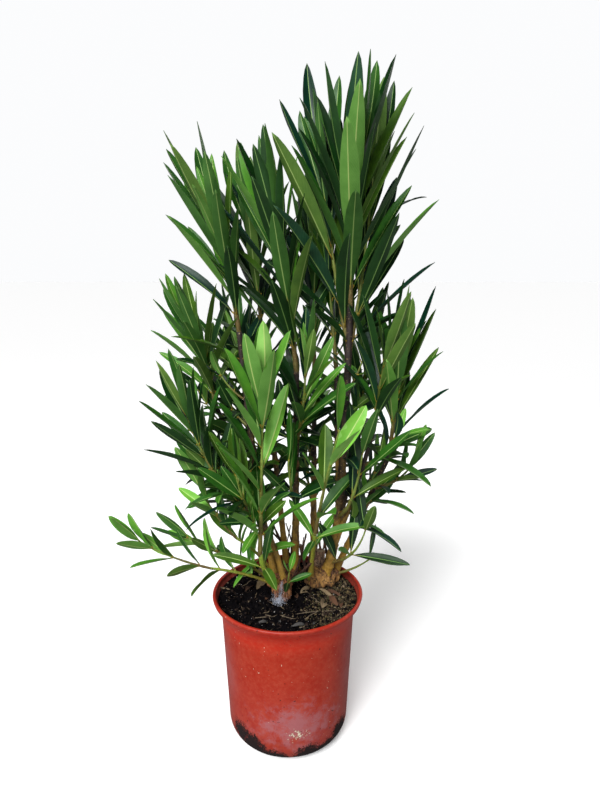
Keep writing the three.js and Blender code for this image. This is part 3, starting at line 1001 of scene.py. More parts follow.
LIMBS = (
    LimbPlan(
        "front_left_stem", "left_stool", end=(-0.037, -0.046, 0.302), sweep=0.7, radii=(0.004, 0.0034),
        foot=(-0.017, -0.007, 0.022), crown=Crown.FRONT,
    ),
    LimbPlan(
        "left_outer_stem", "left_stool", end=(-0.084, -0.022, 0.386), sweep=0.25, radii=(0.004, 0.003),
        foot=(-0.006, -0.002, 0.022), crown=Crown.LEFT,
    ),
    LimbPlan(
        "left_main_stem", "left_stool", end=(-0.066, 0.022, 0.6), sweep=0.62, radii=(0.0052, 0.0034),
        foot=(-0.019, 0.019, 0.015), crown=Crown.LEFT,
    ),
    LimbPlan(
        "left_rear_stem", "left_stool", end=(-0.106, 0.052, 0.49), sweep=0.45, radii=(0.0046, 0.0032),
        foot=(-0.013, 0.036, 0.015), crown=Crown.LEFT,
    ),
    LimbPlan(
        "middle_stem", "left_stool", end=(0.013, 0.022, 0.545), sweep=0.5, radii=(0.0056, 0.0038),
        foot=(0.011, 0.046, 0.014), crown=Crown.MIDDLE,
    ),
    LimbPlan(
        "middle_rear_stem", "left_stool", end=(-0.038, 0.074, 0.59), sweep=0.5, radii=(0.0048, 0.0032),
        foot=(-0.003, 0.06, 0.012), crown=Crown.MIDDLE,
    ),
    LimbPlan(
        "rear_left_stem", "left_stool", end=(-0.064, 0.128, 0.41), sweep=0.7, radii=(0.0044, 0.0032),
        foot=(-0.013, 0.052, 0.01), crown=Crown.REAR,
    ),
    LimbPlan(
        "low_left_stem", "left_stool", end=(-0.108, -0.03, 0.272), sweep=0.4, radii=(0.0022, 0.0018),
        foot=(-0.023, 0.001, 0.016), crown=Crown.LOW,
    ),
    LimbPlan(
        "low_left_rear_stem", "left_stool", end=(-0.096, 0.014, 0.272), sweep=0.4, radii=(0.002, 0.0017),
        foot=(-0.024, 0.014, 0.012), crown=Crown.LOW,
    ),
    LimbPlan(
        "left_low_stem", "left_stool", end=(-0.076, 0.002, 0.304), sweep=0.4, radii=(0.0023, 0.0019),
        foot=(-0.021, 0.028, 0.016), crown=Crown.LOW,
    ),
    LimbPlan(
        "front_right_stem", "right_stool", end=(0.039, -0.026, 0.324), sweep=0.5, radii=(0.0034, 0.0028),
        foot=(0.034, 0.02, 0.018), crown=Crown.FRONT,
    ),
    LimbPlan(
        "right_main_stem", "right_stool", end=(0.085, 0.006, 0.636), sweep=0.86, radii=(0.0076, 0.0044),
        foot=(0.056, 0.029, 0.016), crown=Crown.TOP,
    ),
    LimbPlan(
        "right_stem", "right_stool", end=(0.146, 0.014, 0.426), sweep=0.5, radii=(0.005, 0.0033),
        foot=(0.073, 0.042, 0.015), crown=Crown.RIGHT,
    ),
    LimbPlan(
        "rear_stem", "right_stool", end=(0.04, 0.098, 0.52), sweep=0.5, radii=(0.0052, 0.0035),
        foot=(0.039, 0.066, 0.013), crown=Crown.REAR,
    ),
    LimbPlan(
        "rear_right_stem", "right_stool", end=(0.112, 0.124, 0.43), sweep=0.6, radii=(0.0048, 0.0033),
        foot=(0.06, 0.067, 0.012), crown=Crown.REAR,
    ),
    LimbPlan(
        "right_inner_stem", "right_main_stem", end=(0.12, -0.008, 0.47), sweep=0.55, radii=(0.0038, 0.003),
        at=0.24, crown=Crown.RIGHT,
    ),
    LimbPlan(
        "middle_right_stem", "right_main_stem", end=(0.07, 0.042, 0.545), sweep=0.6, radii=(0.004, 0.0033),
        at=0.46, crown=Crown.TOP,
    ),
)

STUBS = (
    LimbPlan(
        "sawn_stub", "right_stool", end=(0.049, 0.05, 0.26), sweep=0.5, radii=(0.0086, 0.0074),
        foot=(0.047, 0.047, 0.014),
    ),
    LimbPlan(
        "dead_stub", "right_stool", end=(0.07, 0.06, 0.272), sweep=0.5, radii=(0.0062, 0.0046),
        foot=(0.065, 0.055, 0.012),
    ),
)

SHOOTS = (
    ShootPlan(
        "top_middle_leaves", "right_main_stem", end=(0.084, -0.006, 0.79), sweep=0.5,
        crown=Crown.TOP, whorls=8, leaf=0.172, width=0.03, spread=(29, 21), turn=262,
    ),
    ShootPlan(
        "top_left_leaves", "right_main_stem", end=(0.049, 0.018, 0.806), sweep=0.62, at=0.92,
        crown=Crown.TOP, whorls=8, leaf=0.165, width=0.027, spread=(35, 21), turn=175,
    ),
    ShootPlan(
        "top_right_leaves", "right_main_stem", end=(0.112, 0.022, 0.782), sweep=0.62, at=0.9,
        crown=Crown.TOP, whorls=8, leaf=0.16, width=0.027, spread=(31, 20), turn=350,
    ),
    ShootPlan(
        "middle_top_leaves", "middle_stem", end=(-0.013, 0.012, 0.742), sweep=0.42,
        crown=Crown.MIDDLE, whorls=9, leaf=0.14, width=0.025, spread=(35, 20), turn=262,
    ),
    ShootPlan(
        "middle_left_top_leaves", "middle_rear_stem", end=(-0.052, 0.07, 0.742), sweep=0.4,
        crown=Crown.MIDDLE, whorls=7, leaf=0.134, width=0.023, spread=(33, 20), turn=200,
    ),
    ShootPlan(
        "left_top_leaves", "left_main_stem", end=(-0.093, 0.014, 0.742), sweep=0.4,
        crown=Crown.LEFT, whorls=8, leaf=0.136, width=0.024, spread=(39, 21), turn=160,
    ),
    ShootPlan(
        "middle_right_leaves", "middle_right_stem", end=(0.058, 0.052, 0.676), sweep=0.5,
        crown=Crown.TOP, whorls=6, leaf=0.128, width=0.023, spread=(37, 22), turn=200,
    ),
    ShootPlan(
        "rear_top_leaves", "rear_stem", end=(0.038, 0.112, 0.706), sweep=0.5,
        crown=Crown.REAR, whorls=7, leaf=0.14, width=0.024, spread=(37, 20), turn=90,
    ),
    ShootPlan(
        "left_middle_leaves", "left_rear_stem", end=(-0.126, 0.044, 0.588), sweep=0.4,
        crown=Crown.LEFT, whorls=7, leaf=0.112, width=0.021, spread=(37, 21), turn=150,
    ),
    ShootPlan(
        "left_outer_leaves", "left_outer_stem", end=(-0.134, -0.028, 0.496), sweep=0.6,
        crown=Crown.LEFT, whorls=7, leaf=0.098, width=0.02, spread=(41, 22), turn=250,
    ),
    ShootPlan(
        "front_left_leaves", "front_left_stem", end=(-0.029, -0.064, 0.532), sweep=0.55,
        crown=Crown.FRONT, whorls=8, leaf=0.116, width=0.025, spread=(41, 22), turn=235,
    ),
    ShootPlan(
        "right_top_leaves", "right_stem", end=(0.158, 0.006, 0.556), sweep=0.4,
        crown=Crown.RIGHT, whorls=7, leaf=0.122, width=0.023, spread=(29, 18), turn=310,
    ),
    ShootPlan(
        "right_middle_leaves", "right_inner_stem", end=(0.13, -0.014, 0.566), sweep=0.45,
        crown=Crown.RIGHT, whorls=6, leaf=0.12, width=0.024, spread=(37, 20), turn=280,
    ),
    ShootPlan(
        "rear_right_leaves", "rear_right_stem", end=(0.124, 0.132, 0.56), sweep=0.45,
        crown=Crown.REAR, whorls=6, leaf=0.118, width=0.022, spread=(37, 20), turn=60,
    ),
    ShootPlan(
        "rear_left_leaves", "rear_left_stem", end=(-0.08, 0.138, 0.56), sweep=0.45,
        crown=Crown.REAR, whorls=6, leaf=0.12, width=0.022, spread=(39, 20), turn=120,
    ),
    ShootPlan(
        "front_right_leaves", "front_right_stem", end=(0.069, -0.058, 0.482), sweep=0.45,
        crown=Crown.FRONT, whorls=5, leaf=0.092, width=0.025, spread=(39, 22), turn=285,
    ),
    ShootPlan(
        "middle_front_leaves", "middle_stem", end=(0.026, -0.022, 0.56), sweep=0.7, at=0.66,
        crown=Crown.MIDDLE, whorls=5, leaf=0.108, width=0.022, spread=(41, 22), turn=300,
    ),
    ShootPlan(
        "middle_low_leaves", "middle_stem", end=(0.002, -0.024, 0.43), sweep=0.7, at=0.36,
        crown=Crown.MIDDLE, whorls=4, leaf=0.086, width=0.018, spread=(47, 26), turn=250,
    ),
    ShootPlan(
        "left_inner_leaves", "left_outer_stem", end=(-0.066, -0.056, 0.42), sweep=0.7, at=0.66,
        crown=Crown.LEFT, whorls=4, leaf=0.084, width=0.021, spread=(49, 28), turn=210,
    ),
    ShootPlan(
        "right_inner_leaves", "right_main_stem", end=(0.102, -0.036, 0.446), sweep=0.75, at=0.42,
        crown=Crown.RIGHT, whorls=4, leaf=0.096, width=0.022, spread=(55, 38), turn=330,
    ),
    ShootPlan(
        "right_low_leaves", "right_main_stem", end=(0.11, -0.026, 0.33), sweep=0.75, at=0.15,
        crown=Crown.RIGHT, whorls=4, leaf=0.084, width=0.019, spread=(60, 40), turn=300,
    ),
    ShootPlan(
        "right_outer_leaves", "right_stem", end=(0.178, -0.002, 0.42), sweep=0.7, at=0.72,
        crown=Crown.RIGHT, whorls=4, leaf=0.064, width=0.016, spread=(48, 22), turn=330,
    ),
    ShootPlan(
        "rear_low_right_leaves", "rear_right_stem", end=(0.136, 0.092, 0.372), sweep=0.75, at=0.5,
        crown=Crown.REAR, whorls=4, leaf=0.078, width=0.016, spread=(52, 28), turn=20,
    ),
    ShootPlan(
        "rear_low_left_leaves", "rear_left_stem", end=(-0.108, 0.092, 0.366), sweep=0.75, at=0.5,
        crown=Crown.REAR, whorls=4, leaf=0.078, width=0.016, spread=(52, 28), turn=140,
    ),
    ShootPlan(
        "rear_low_leaves", "rear_stem", end=(0.028, 0.152, 0.378), sweep=0.75, at=0.3,
        crown=Crown.REAR, whorls=4, leaf=0.084, width=0.018, spread=(52, 28), turn=90,
    ),
    ShootPlan(
        "low_left_leaves", "low_left_stem", end=(-0.202, -0.05, 0.324), sweep=0.6,
        crown=Crown.LOW, whorls=4, leaf=0.062, width=0.017, spread=(38, 28), turn=150,
    ),
    ShootPlan(
        "low_left_rear_leaves", "low_left_rear_stem", end=(-0.148, 0.016, 0.298), sweep=0.6,
        crown=Crown.LOW, whorls=3, leaf=0.066, width=0.016, spread=(44, 32), turn=70,
    ),
    ShootPlan(
        "left_low_leaves", "left_low_stem", end=(-0.124, -0.006, 0.386), sweep=0.6,
        crown=Crown.LOW, whorls=4, leaf=0.074, width=0.017, spread=(48, 26), turn=200,
    ),
    ShootPlan(
        "low_right_leaves", "right_stool", end=(0.122, 0.014, 0.264), sweep=0.6, foot=(0.076, 0.032, 0.016),
        crown=Crown.RIGHT, whorls=1, leaf=0.054, width=0.011, spread=(60, 60), turn=0,
    ),
    ShootPlan(
        "stool_sprout_leaves", "left_stool", end=(0.003, -0.02, 0.262), sweep=0.5, foot=(0, -0.008, 0.02),
        crown=Crown.LOW, whorls=2, leaf=0.038, width=0.011, spread=(62, 40), turn=20,
    ),
)


class SeededNumbers:
    """A repeatable stream of numbers from 0 to 1, the same one that the solids are grown from."""

    BITS = 0xFFFFFFFF

    def __init__(self, seed: int) -> None:
        """Starts the stream at a seed."""
        self.state = seed & self.BITS

    def draw(self) -> float:
        """The next number.

        Returns:
            A number from 0 to 1.
        """
        self.state = (self.state + 0x6D2B79F5) & self.BITS
        mixed = ((self.state ^ (self.state >> 15)) * (self.state | 1)) & self.BITS
        again = ((mixed ^ (mixed >> 7)) * (mixed | 61)) & self.BITS
        mixed ^= (mixed + again) & self.BITS
        return (mixed ^ (mixed >> 14)) / 2**32


def cross_axes(ways: Array) -> tuple[Array, Array]:
    """Two directions square to each given direction and to each other."""
    side = unit(np.cross([0.0, 1.0, 0.0], ways))
    return side, np.cross(ways, side)


def hoops(ways: Array, ring: int) -> Array:
    """Directions to the points of a ring about each given direction: side cos a + front sin a.

    Args:
        ways: directions, (..., 3).
        ring: how many points each ring has.

    Returns:
        Directions, (..., ring, 3).
    """
    side, front = cross_axes(ways)
    angle = column(circle(ring))
    return side[..., None, :] * np.cos(angle) + front[..., None, :] * np.sin(angle)


@dataclass(frozen=True)
class Stem:
    """A line bent once, as a quadratic curve: (1-s)^2 foot + 2 s (1-s) bend + s^2 tip."""

    foot: Array
    bend: Array
    tip: Array

    @classmethod
    def bent(cls, foot: Array, end: Array, sweep: float) -> "Stem":
        """The line from a foot to an end, bent by its sweep."""
        way = end - foot
        return cls(foot, foot + way * [sweep, sweep, 1 - sweep], end)

    def at(self, share: Array | float) -> Array:
        """Points at shares of the way along."""
        s = column(share)
        return self.foot * (1 - s) ** 2 + 2 * self.bend * s * (1 - s) + self.tip * s**2

    def way(self, share: Array | float) -> Array:
        """Directions of travel at shares of the way along."""
        s = column(share)
        return unit((self.bend - self.foot) * (1 - s) + (self.tip - self.bend) * s)

    def length(self) -> float:
        """How long the line is, by short straight steps."""
        points = self.at(np.linspace(0, 1, 201))
        return float(np.linalg.norm(np.diff(points, axis=0), axis=1).sum())


@dataclass
class Leaves:
    """A batch of leaves, one row for each.

    A leaf's midline is the arc base + along (L/b) sin(b s) + upper (L/b) (cos(b s) - 1), moved
    across by sway L s^2, for s from 0 at the stalk to 1 at the tip.

    Attributes:
        base: where the stalk leaves the stem.
        along: direction in which the leaf sets out.
        upper: direction that its upper face looks in.
        length: length of leaf and stalk.
        width: greatest width.
        bend: how far the leaf bends away from its upper face, in radians.
        fold: how steeply its halves rise from the midrib.
        twist: how far it turns about its midrib, in radians.
        sway: how far it curves sideways, as a share of its length.
        tone: how light it is.
    """

    base: Array
    along: Array
    upper: Array
    length: Array
    width: Array
    bend: Array
    fold: Array
    twist: Array
    sway: Array
    tone: Array

    @staticmethod
    def joined(batches: Sequence["Leaves"]) -> "Leaves":
        """Puts several batches in one."""
        names = Leaves.__dataclass_fields__
        return Leaves(*(np.concatenate([getattr(b, name) for b in batches]) for name in names))

    def __len__(self) -> int:
        """How many leaves there are."""
        return len(self.length)

    def midlines(self, shares: Array) -> Array:
        """Points along each midline, (leaves, shares, 3).

        Args:
            shares: shares of the way along.

        Returns:
            The points.
        """
        angle = self.bend[:, None] * shares
        reach = (self.length / self.bend)[:, None]
        across = np.cross(self.upper, self.along)
        return (
            self.base[:, None]
            + self.along[:, None] * column(reach * np.sin(angle))
            + self.upper[:, None] * column(reach * (np.cos(angle) - 1))
            + across[:, None] * column((self.sway * self.length)[:, None] * shares**2)
        )


@dataclass(frozen=True)
class LeafForm:
    """The outline and section that every leaf has.

    Half the width at share s of the blade is W/2 sin(pi s^k)^f, with k set by where the leaf is
    widest. The exponent f falls from slim to broad leaves, so that slim ones taper and broad ones
    are rounder. The section is a shallow V that rises by fold times the distance from the
    midrib, with a rib that stands out below.

    Attributes:
        rows: where the sections stand along the blade.
        stalk: share of the length that is stalk.
        stalk_half: half the stalk's width.
        stalk_depth: the stalk's depth.
        rib_half: half the width of the midrib of a broad leaf.
        rib_depth: how far the midrib stands out below.
        thickness: the blade's.
        widest: where along the blade it is widest.
        slimness: width over length of the slimmest and of the broadest leaves.
        fullness: exponent f for these two.
        wave: height of the margin's waves, as a share of half the width.
    """

    rows: tuple[float, ...] = (0.0, 0.05, 0.12, 0.23, 0.36, 0.5, 0.64, 0.77, 0.88, 0.95, 1.0)
    stalk: float = 0.06
    stalk_half: float = 0.0011
    stalk_depth: float = 0.0011
    rib_half: float = 0.001
    rib_depth: float = 0.0009
    thickness: float = 0.00045
    widest: float = 0.52
    slimness: Pair = (0.13, 0.24)
    fullness: Pair = (0.64, 0.55)
    wave: float = 0.035

    def half_widths(self, leaves: Leaves) -> Array:
        """Half the width at each row, (leaves, rows).

        Args:
            leaves: the batch.

        Returns:
            Half widths.
        """
        rows = np.array(self.rows)
        share = np.clip((rows - self.stalk) / (1 - self.stalk), 0, 1)
        broad = np.interp(leaves.width / leaves.length, self.slimness, (0.0, 1.0))
        swell = np.abs(np.sin(np.pi * share ** (np.log(0.5) / np.log(self.widest))))
        blade = swell ** lerp(*self.fullness, broad)[:, None]
        least = self.stalk_half * lerp(1.0, 0.12, rows)
        return np.maximum(leaves.width[:, None] / 2 * blade, least)

    def rings(self, leaves: Leaves) -> Array:
        """The section's eight corners at each row, (leaves, rows, 8, 3).

        Args:
            leaves: the batch.

        Returns:
            Corners for tubes.
        """
        rows = np.array(self.rows)
        angle = column(leaves.bend[:, None] * rows)
        along, upper = leaves.along[:, None], leaves.upper[:, None]
        level = np.broadcast_to(np.cross(upper, along), (len(leaves), len(rows), 3))
        facing = upper * np.cos(angle) + along * np.sin(angle)
        turn = column(leaves.twist[:, None] * rows)
        across = level * np.cos(turn) + facing * np.sin(turn)
        facing = facing * np.cos(turn) - level * np.sin(turn)

        half = self.half_widths(leaves)
        slim = np.clip(leaves.width[:, None] / 0.024, 0.4, 1.1)
        rib = np.minimum(self.rib_half * slim * lerp(1.0, 0.25, rows) / half, 0.4)
        out = np.stack([np.ones_like(rib), np.full_like(rib, 0.5), rib, -rib], axis=-1)
        out = np.concatenate([out, -out[..., 1::-1], -rib[..., None], rib[..., None]], axis=-1)
        stalky = np.clip(1 - rows / 0.14, 0, 1)
        body = lerp(self.thickness, self.stalk_depth, stalky)
        keel = -self.rib_depth * lerp(1.0, 0.15, rows)
        raised = np.array([0, 1, 0.6, 0.6, 1, 0, 0, 0]) * body[:, None]
        raised = raised + np.array([0, 0, 0, 0, 0, 0, 1, 1]) * keel[:, None]
        rise = leaves.fold[:, None, None] * np.abs(out) * (1 - stalky)[:, None]
        phase = leaves.sway[:, None, None] * 60 + np.sign(out) * 0.8
        margin = (np.abs(out) > 0.9) * self.wave * np.sin(FULL_TURN * 1.6 * rows[:, None] + phase)
        height = (rise + margin) * half[..., None] + raised
        middle = leaves.midlines(rows)
        return (
            middle[:, :, None]
            + across[:, :, None] * column(out * half[..., None])
            + facing[:, :, None] * column(height)
        )

    def patch(self, leaves: Leaves) -> Patch:
        """The batch as a lump of faces, three finishes for each tone: top, underside and rib.

        Args:
            leaves: the batch.

        Returns:
            The lump of faces.
        """
        top, under, rib = 0, 1, 2
        ring = np.array([top, top, rib, top, top, under, rib, under])
        finish = np.tile(ring, (len(self.rows) - 1, 1))
        finish[0] = rib
        finish = finish + 3 * leaves.tone[:, None, None]
        around = np.array([1.0, 0.5, 0.06, -0.06, -0.5, -1.0, -0.06, 0.06, 1.0])
        return tubes(self.rings(leaves), finish, around, np.array(self.rows), hard_lines=(0, 5))


@dataclass
class Growth:
    """Grows the shrub: limbs, shoots and leaves, first as in the solids and then finer.

    Attributes:
        soil: height of the soil's surface.
        whorl: leaves at each node.
        whorl_turn: turn from one whorl to the next, in degrees.
        jitter: largest stray of a leaf's turn, in degrees.
        least_spread: smallest angle of a leaf to its stem, in degrees.
        root_inset: how far out a leaf's root lies, as a share of its stem's radius.
        life_width: width of a blade over the solid's, for old and for young crowns.
        arched: share of the finer leaves that arch right over.
        between: share of the finer leaves between whorls that grow at all.
        light_way: direction in which the light lies.
        light_turn: how far a leaf square to the light turns its face to it, in radians.
        headroom: least height of an added leaf above the soil, so that none hangs over the rim.
        stool_radii: what a shoot on a stool takes for its parent's radii.
        limbs: each limb's line and radii, by name.
        shoots: each shoot's line and radii, by name.
        batches: the leaves grown so far, by crown.
        twigs: fine side twigs, as line and radii.
        LIGHTER: how much lighter than the rest a crown's leaves are dealt.
        KEPT: share of the solids' leaves that a crown keeps.
        ON_LIMB: share of the older whorls that a crown's limbs keep.
        TWIGGY: share of the side twigs that a crown's limbs keep.
        BARE_BELOW: height above the soil up to which a crown's limbs carry no side twig.
        YOUNG_CROWNS: the brighter crowns of young shoots, whose limbs are green.
        WAYS_ROUND: turn and spread, in degrees, that a leaf tries in turn to clear what is near.
        FIRST, LAST: where a shoot's first and last whorl stand. An only one stands last.
        CROWDING: how much closer the whorls stand towards the tip, as an exponent.
        BEND: how far a shoot's lowest and highest leaves bend, in degrees.
        SEAT: greatest radius of a shoot's foot over its limb's, on the limb's tip and lower down.
        TIPS: place, size and spread of the two whorls of young leaves at a shoot's tip.
        CLOSE: how near a leaf's tip has to lie to a corner of its solid.
        SAMPLES: where along leaves their distances are taken.
    """

    soil: float
    whorl: int = 3
    whorl_turn: float = 60.0
    jitter: float = 8.0
    least_spread: float = 8.0
    root_inset: float = 0.5
    life_width: Pair = (0.82, 0.92)
    arched: float = 0.07
    between: float = 0.66
    light_way: Array = field(default_factory=lambda: np.array([-0.25, -0.75, 0.6]))
    light_turn: float = 0.6
    headroom: float = 0.024
    stool_radii: Pair = (0.004, 0.004)
    limbs: dict[str, tuple[Stem, Pair]] = field(default_factory=dict)
    shoots: dict[str, tuple[Stem, Pair]] = field(default_factory=dict)
    batches: dict[Crown, list[Leaves]] = field(default_factory=dict)
    twigs: list[tuple[Stem, Pair]] = field(default_factory=list)

    WAYS_ROUND = ((0, 0), (16, -4), (-16, -4), (30, -10), (-30, -10), (8, -16))
    FIRST, LAST, CROWDING = 0.14, 0.975, 1.3
    BEND = (12, -18)
    SEAT = (0.98, 0.72)
    TIPS = ((0.985, 0.6, 15.0), (0.998, 0.38, 8.0))
    CLOSE = 0.0002
    LIGHTER = {
        Crown.FRONT: 1.5,
        Crown.LOW: 1.35,
        Crown.RIGHT: 0.1,
        Crown.LEFT: 0.2,
        Crown.TOP: -0.24,
    }
    KEPT = {Crown.FRONT: 0.7, Crown.RIGHT: 0.9}
    ON_LIMB = {Crown.TOP: 0.5, Crown.RIGHT: 0.6}
    TWIGGY = {Crown.TOP: 0.5, Crown.RIGHT: 0.5, Crown.MIDDLE: 0.5, Crown.REAR: 0.7}
    BARE_BELOW = {Crown.MIDDLE: 0.15, Crown.TOP: 0.14, Crown.REAR: 0.13}
    YOUNG_CROWNS = (Crown.FRONT, Crown.LOW)
    SAMPLES = np.linspace(0.16, 1.0, 8)

    def line(self, plan: LimbPlan | ShootPlan) -> Stem:
        """The line of a limb or shoot, from its foot or from its parent.

        Args:
            plan: the limb or shoot.

        Returns:
            Its line.
        """
        if plan.foot is None:
            foot = self.limbs[plan.on][0].at(plan.at)
        else:
            foot = np.array(plan.foot) + [0, 0, self.soil]
        return Stem.bent(foot, np.array(plan.end), plan.sweep)

    def around(self, first: float) -> Array:
        """The turns of a whorl's leaves, evenly spaced from the first, in degrees."""
        return first + np.arange(self.whorl) * 360 / self.whorl

    def axes(self, way: Array, turn: float, spread: float) -> tuple[Array, Array, Array]:
        """A leaf's directions where it leaves a stem: along it, square to its face, and outward.

        Args:
            way: the stem's direction.
            turn: how far round the stem the leaf stands, in degrees.
            spread: its angle to the stem, in degrees.

        Returns:
            The three directions.
        """
        side, front = cross_axes(way)
        turn, spread = np.radians(turn), np.radians(spread)
        outward = side * np.cos(turn) + front * np.sin(turn)
        along = way * np.cos(spread) + outward * np.sin(spread)
        upper = way * np.sin(spread) - outward * np.cos(spread)
        return along, upper, outward

    def whorl_shares(self, whorls: int) -> Array:
        """Where a shoot's whorls stand, closer together towards its tip.

        Args:
            whorls: how many there are.

        Returns:
            Shares of the way along.
        """
        if whorls == 1:
            return np.array([self.LAST])
        rise = np.arange(whorls) / (whorls - 1)
        return lerp(self.FIRST, self.LAST, 1 - (1 - rise) ** self.CROWDING)

    def tones(self, crown: Crown, rise: Array, numbers: np.random.Generator) -> Array:
        """Deals out how light the leaves are: lighter towards the tip, in front and low down.

        Args:
            crown: part of the crown that they are in.
            rise: how far up its shoot each leaf stands, 0 to 1.
            numbers: the stream of numbers.

        Returns:
            The tone of each leaf.
        """
        score = self.LIGHTER.get(crown, 0.0) + 0.35 * rise + numbers.normal(0.95, 0.7, len(rise))
        level = np.clip(np.floor(score), 0, 3).astype(int)
        other_hue = numbers.uniform(0, 1, len(rise)) < 0.4
        first = np.array([Tone.DEEP, Tone.GREEN, Tone.FRESH, Tone.YOUNG])[level]
        return first + (other_hue & (level < 2))

    def root(self, stem: Stem, share: float, turn: float, spread: float, out: float) -> tuple:
        """A leaf's base, this far out from its stem's middle, and its along and upper directions."""
        along, upper, outward = self.axes(stem.way(share), turn, spread)
        return stem.at(share) + outward * out, along, upper

    def batch(self, rows: list[tuple], crown: Crown, seed: int, lively: float = 1.0) -> Leaves:
        """Turns planned leaves into a batch, each with its own fold, twist, sway and tone.

        Args:
            rows: base, along, upper, length, width and bend of each leaf, and how far up its
                shoot it stands, 0 to 1.
            crown: part of the crown that they are in.
            seed: picks the small differences.
            lively: how strong these are.

        Returns:
            The batch.
        """
        numbers = np.random.default_rng(seed)
        count = len(rows)
        base, along, upper, length, width, bend, rise = (np.array(x) for x in zip(*rows))
        level = np.cross(upper, along)
        return Leaves(
            base,
            along,
            upper,
            length,
            width,
            np.where(np.abs(bend) < 0.02, 0.02, bend),
            numbers.uniform(0.3, 0.7, count),
            numbers.normal(0, 0.3 * lively, count) - self.light_turn * (level @ unit(self.light_way)),
            numbers.normal(0, 0.036 * lively, count),
            self.tones(crown, rise, numbers),
        )

    def grow_limbs(self) -> None:
        """Lays out the limbs and stubs."""
        for plan in (*LIMBS, *STUBS):
            self.limbs[plan.name] = (self.line(plan), plan.radii)

    def grow_shoot(self, plan: ShootPlan, number: int) -> None:
        """Grows a shoot's leaves by the rule, each turned or left out as in its solid.

        The solid's corners say which way round each leaf went: its tip is one of them. Two
        crowns carry fewer leaves than their solids, as KEPT says.

        Args:
            plan: the shoot.
            number: its place in the table.
        """
        stem = self.line(plan)
        radii = (0.0011 + 0.018 * stem.length(), 0.0009)
        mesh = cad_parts[plan.name].data
        corners = np.empty(3 * len(mesh.vertices), np.float32)
        mesh.vertices.foreach_get("co", corners)
        corners = corners.reshape(-1, 3)
        random = SeededNumbers(Seed.SOLID + number)
        share_of_width = self.life_width[plan.crown in self.YOUNG_CROWNS]
        rows = []

        def wander() -> float:
            """A stray angle, in degrees."""
            return self.jitter * (2 * random.draw() - 1)

        for node, share in enumerate(self.whorl_shares(plan.whorls)):
            rise = node / (plan.whorls - 1) if plan.whorls > 1 else 1.0
            for turn in self.around(plan.turn + node * self.whorl_turn):
                turn += wander()
                spread = lerp(*plan.spread, rise**0.8) + 0.6 * wander()
                swell = np.sin(np.pi * lerp(0.2, 0.8, rise))
                length = plan.leaf * lerp(0.8, 1.0, swell) * lerp(0.93, 1.07, random.draw())
                bend = np.radians(lerp(*self.BEND, rise) + wander())
                for more_turn, more_spread in self.WAYS_ROUND:
                    opened = max(spread + more_spread, self.least_spread)
                    out = self.root_inset * lerp(*radii, share)
                    base, along, upper = self.root(stem, share, turn + more_turn, opened, out)
                    reach = length / bend
                    tip = base + along * reach * np.sin(bend) + upper * reach * (np.cos(bend) - 1)
                    if np.abs(corners - tip).max(axis=1).min() < self.CLOSE:
                        width = plan.width * length / plan.leaf * share_of_width
                        rows.append((base, along, upper, length, width, bend, rise))
                        break
        parent = self.limbs[plan.on][1] if plan.on in self.limbs else self.stool_radii
        seat = self.SEAT[plan.at < 1]
        foot = min(radii[0], lerp(*parent, plan.at) * seat)
        self.shoots[plan.name] = (stem, (foot, radii[1]))
        log.info("%s: %d leaves found in its solid", plan.name, len(rows))
        numbers = np.random.default_rng(Seed.KEPT + number)
        keep = numbers.uniform(0, 1, len(rows)) < self.KEPT.get(plan.crown, 1.0)
        rows = [row for row, kept in zip(rows, keep) if kept]
        if rows:
            self.batches.setdefault(plan.crown, []).append(self.batch(rows, plan.crown, number))

    def grow_tip(self, stem: Stem, plan: ShootPlan, number: int) -> None:
        """Adds the young leaves that stand close about a shoot's tip.

        Args:
            stem: the shoot's line.
            plan: the shoot.
            number: its place in the table.
        """
        numbers = np.random.default_rng(Seed.TIP + number)
        rows = []
        for share, size, spread in self.TIPS:
            for turn in self.around(numbers.uniform(0, 360)):
                turn += numbers.uniform(-8, 8)
                length = plan.leaf * size * numbers.uniform(0.85, 1.05)
                root = self.root(stem, share, turn, spread, 0.0005)
                rows.append((*root, length, length * 0.13, np.radians(5.0), 1.3))
        tips = self.batch(rows, plan.crown, Seed.TIP_FORM + number, 0.5)
        self.add_clear(tips, plan.crown, 0.0)

    def grow_between(self, stem: Stem, plan: ShootPlan, number: int) -> None:
        """Adds finer leaves half-way between the solid's whorls, a little shorter than its own.

        Args:
            stem: the shoot's line.
            plan: the shoot.
            number: its place in the table.
        """
        numbers = np.random.default_rng(Seed.BETWEEN + number)
        shares = self.whorl_shares(plan.whorls)
        rows = []
        for node, share in enumerate((shares[:-1] + shares[1:]) / 2):
            rise = (node + 0.5) / (plan.whorls - 1)
            for turn in self.around(plan.turn + (node + 0.5) * self.whorl_turn):
                if numbers.uniform() > self.between:
                    continue
                turn += numbers.uniform(-16, 16)
                spread = lerp(*plan.spread, rise**0.8) + numbers.uniform(-8, 6)
                length = plan.leaf * numbers.uniform(0.6, 0.92)
                bend = np.radians(lerp(26, -10, rise) + numbers.uniform(-14, 14))
                if numbers.uniform() < self.arched:
                    spread += 12
                    bend = np.radians(numbers.uniform(45, 68))
                width = plan.width * numbers.uniform(0.5, 0.66)
                root = self.root(stem, share, turn, spread, 0.001)
                rows.append((*root, length, width, bend, rise))
        if rows:
            finer = self.batch(rows, plan.crown, Seed.BETWEEN_FORM + number)
            self.add_clear(finer, plan.crown, 0.5)

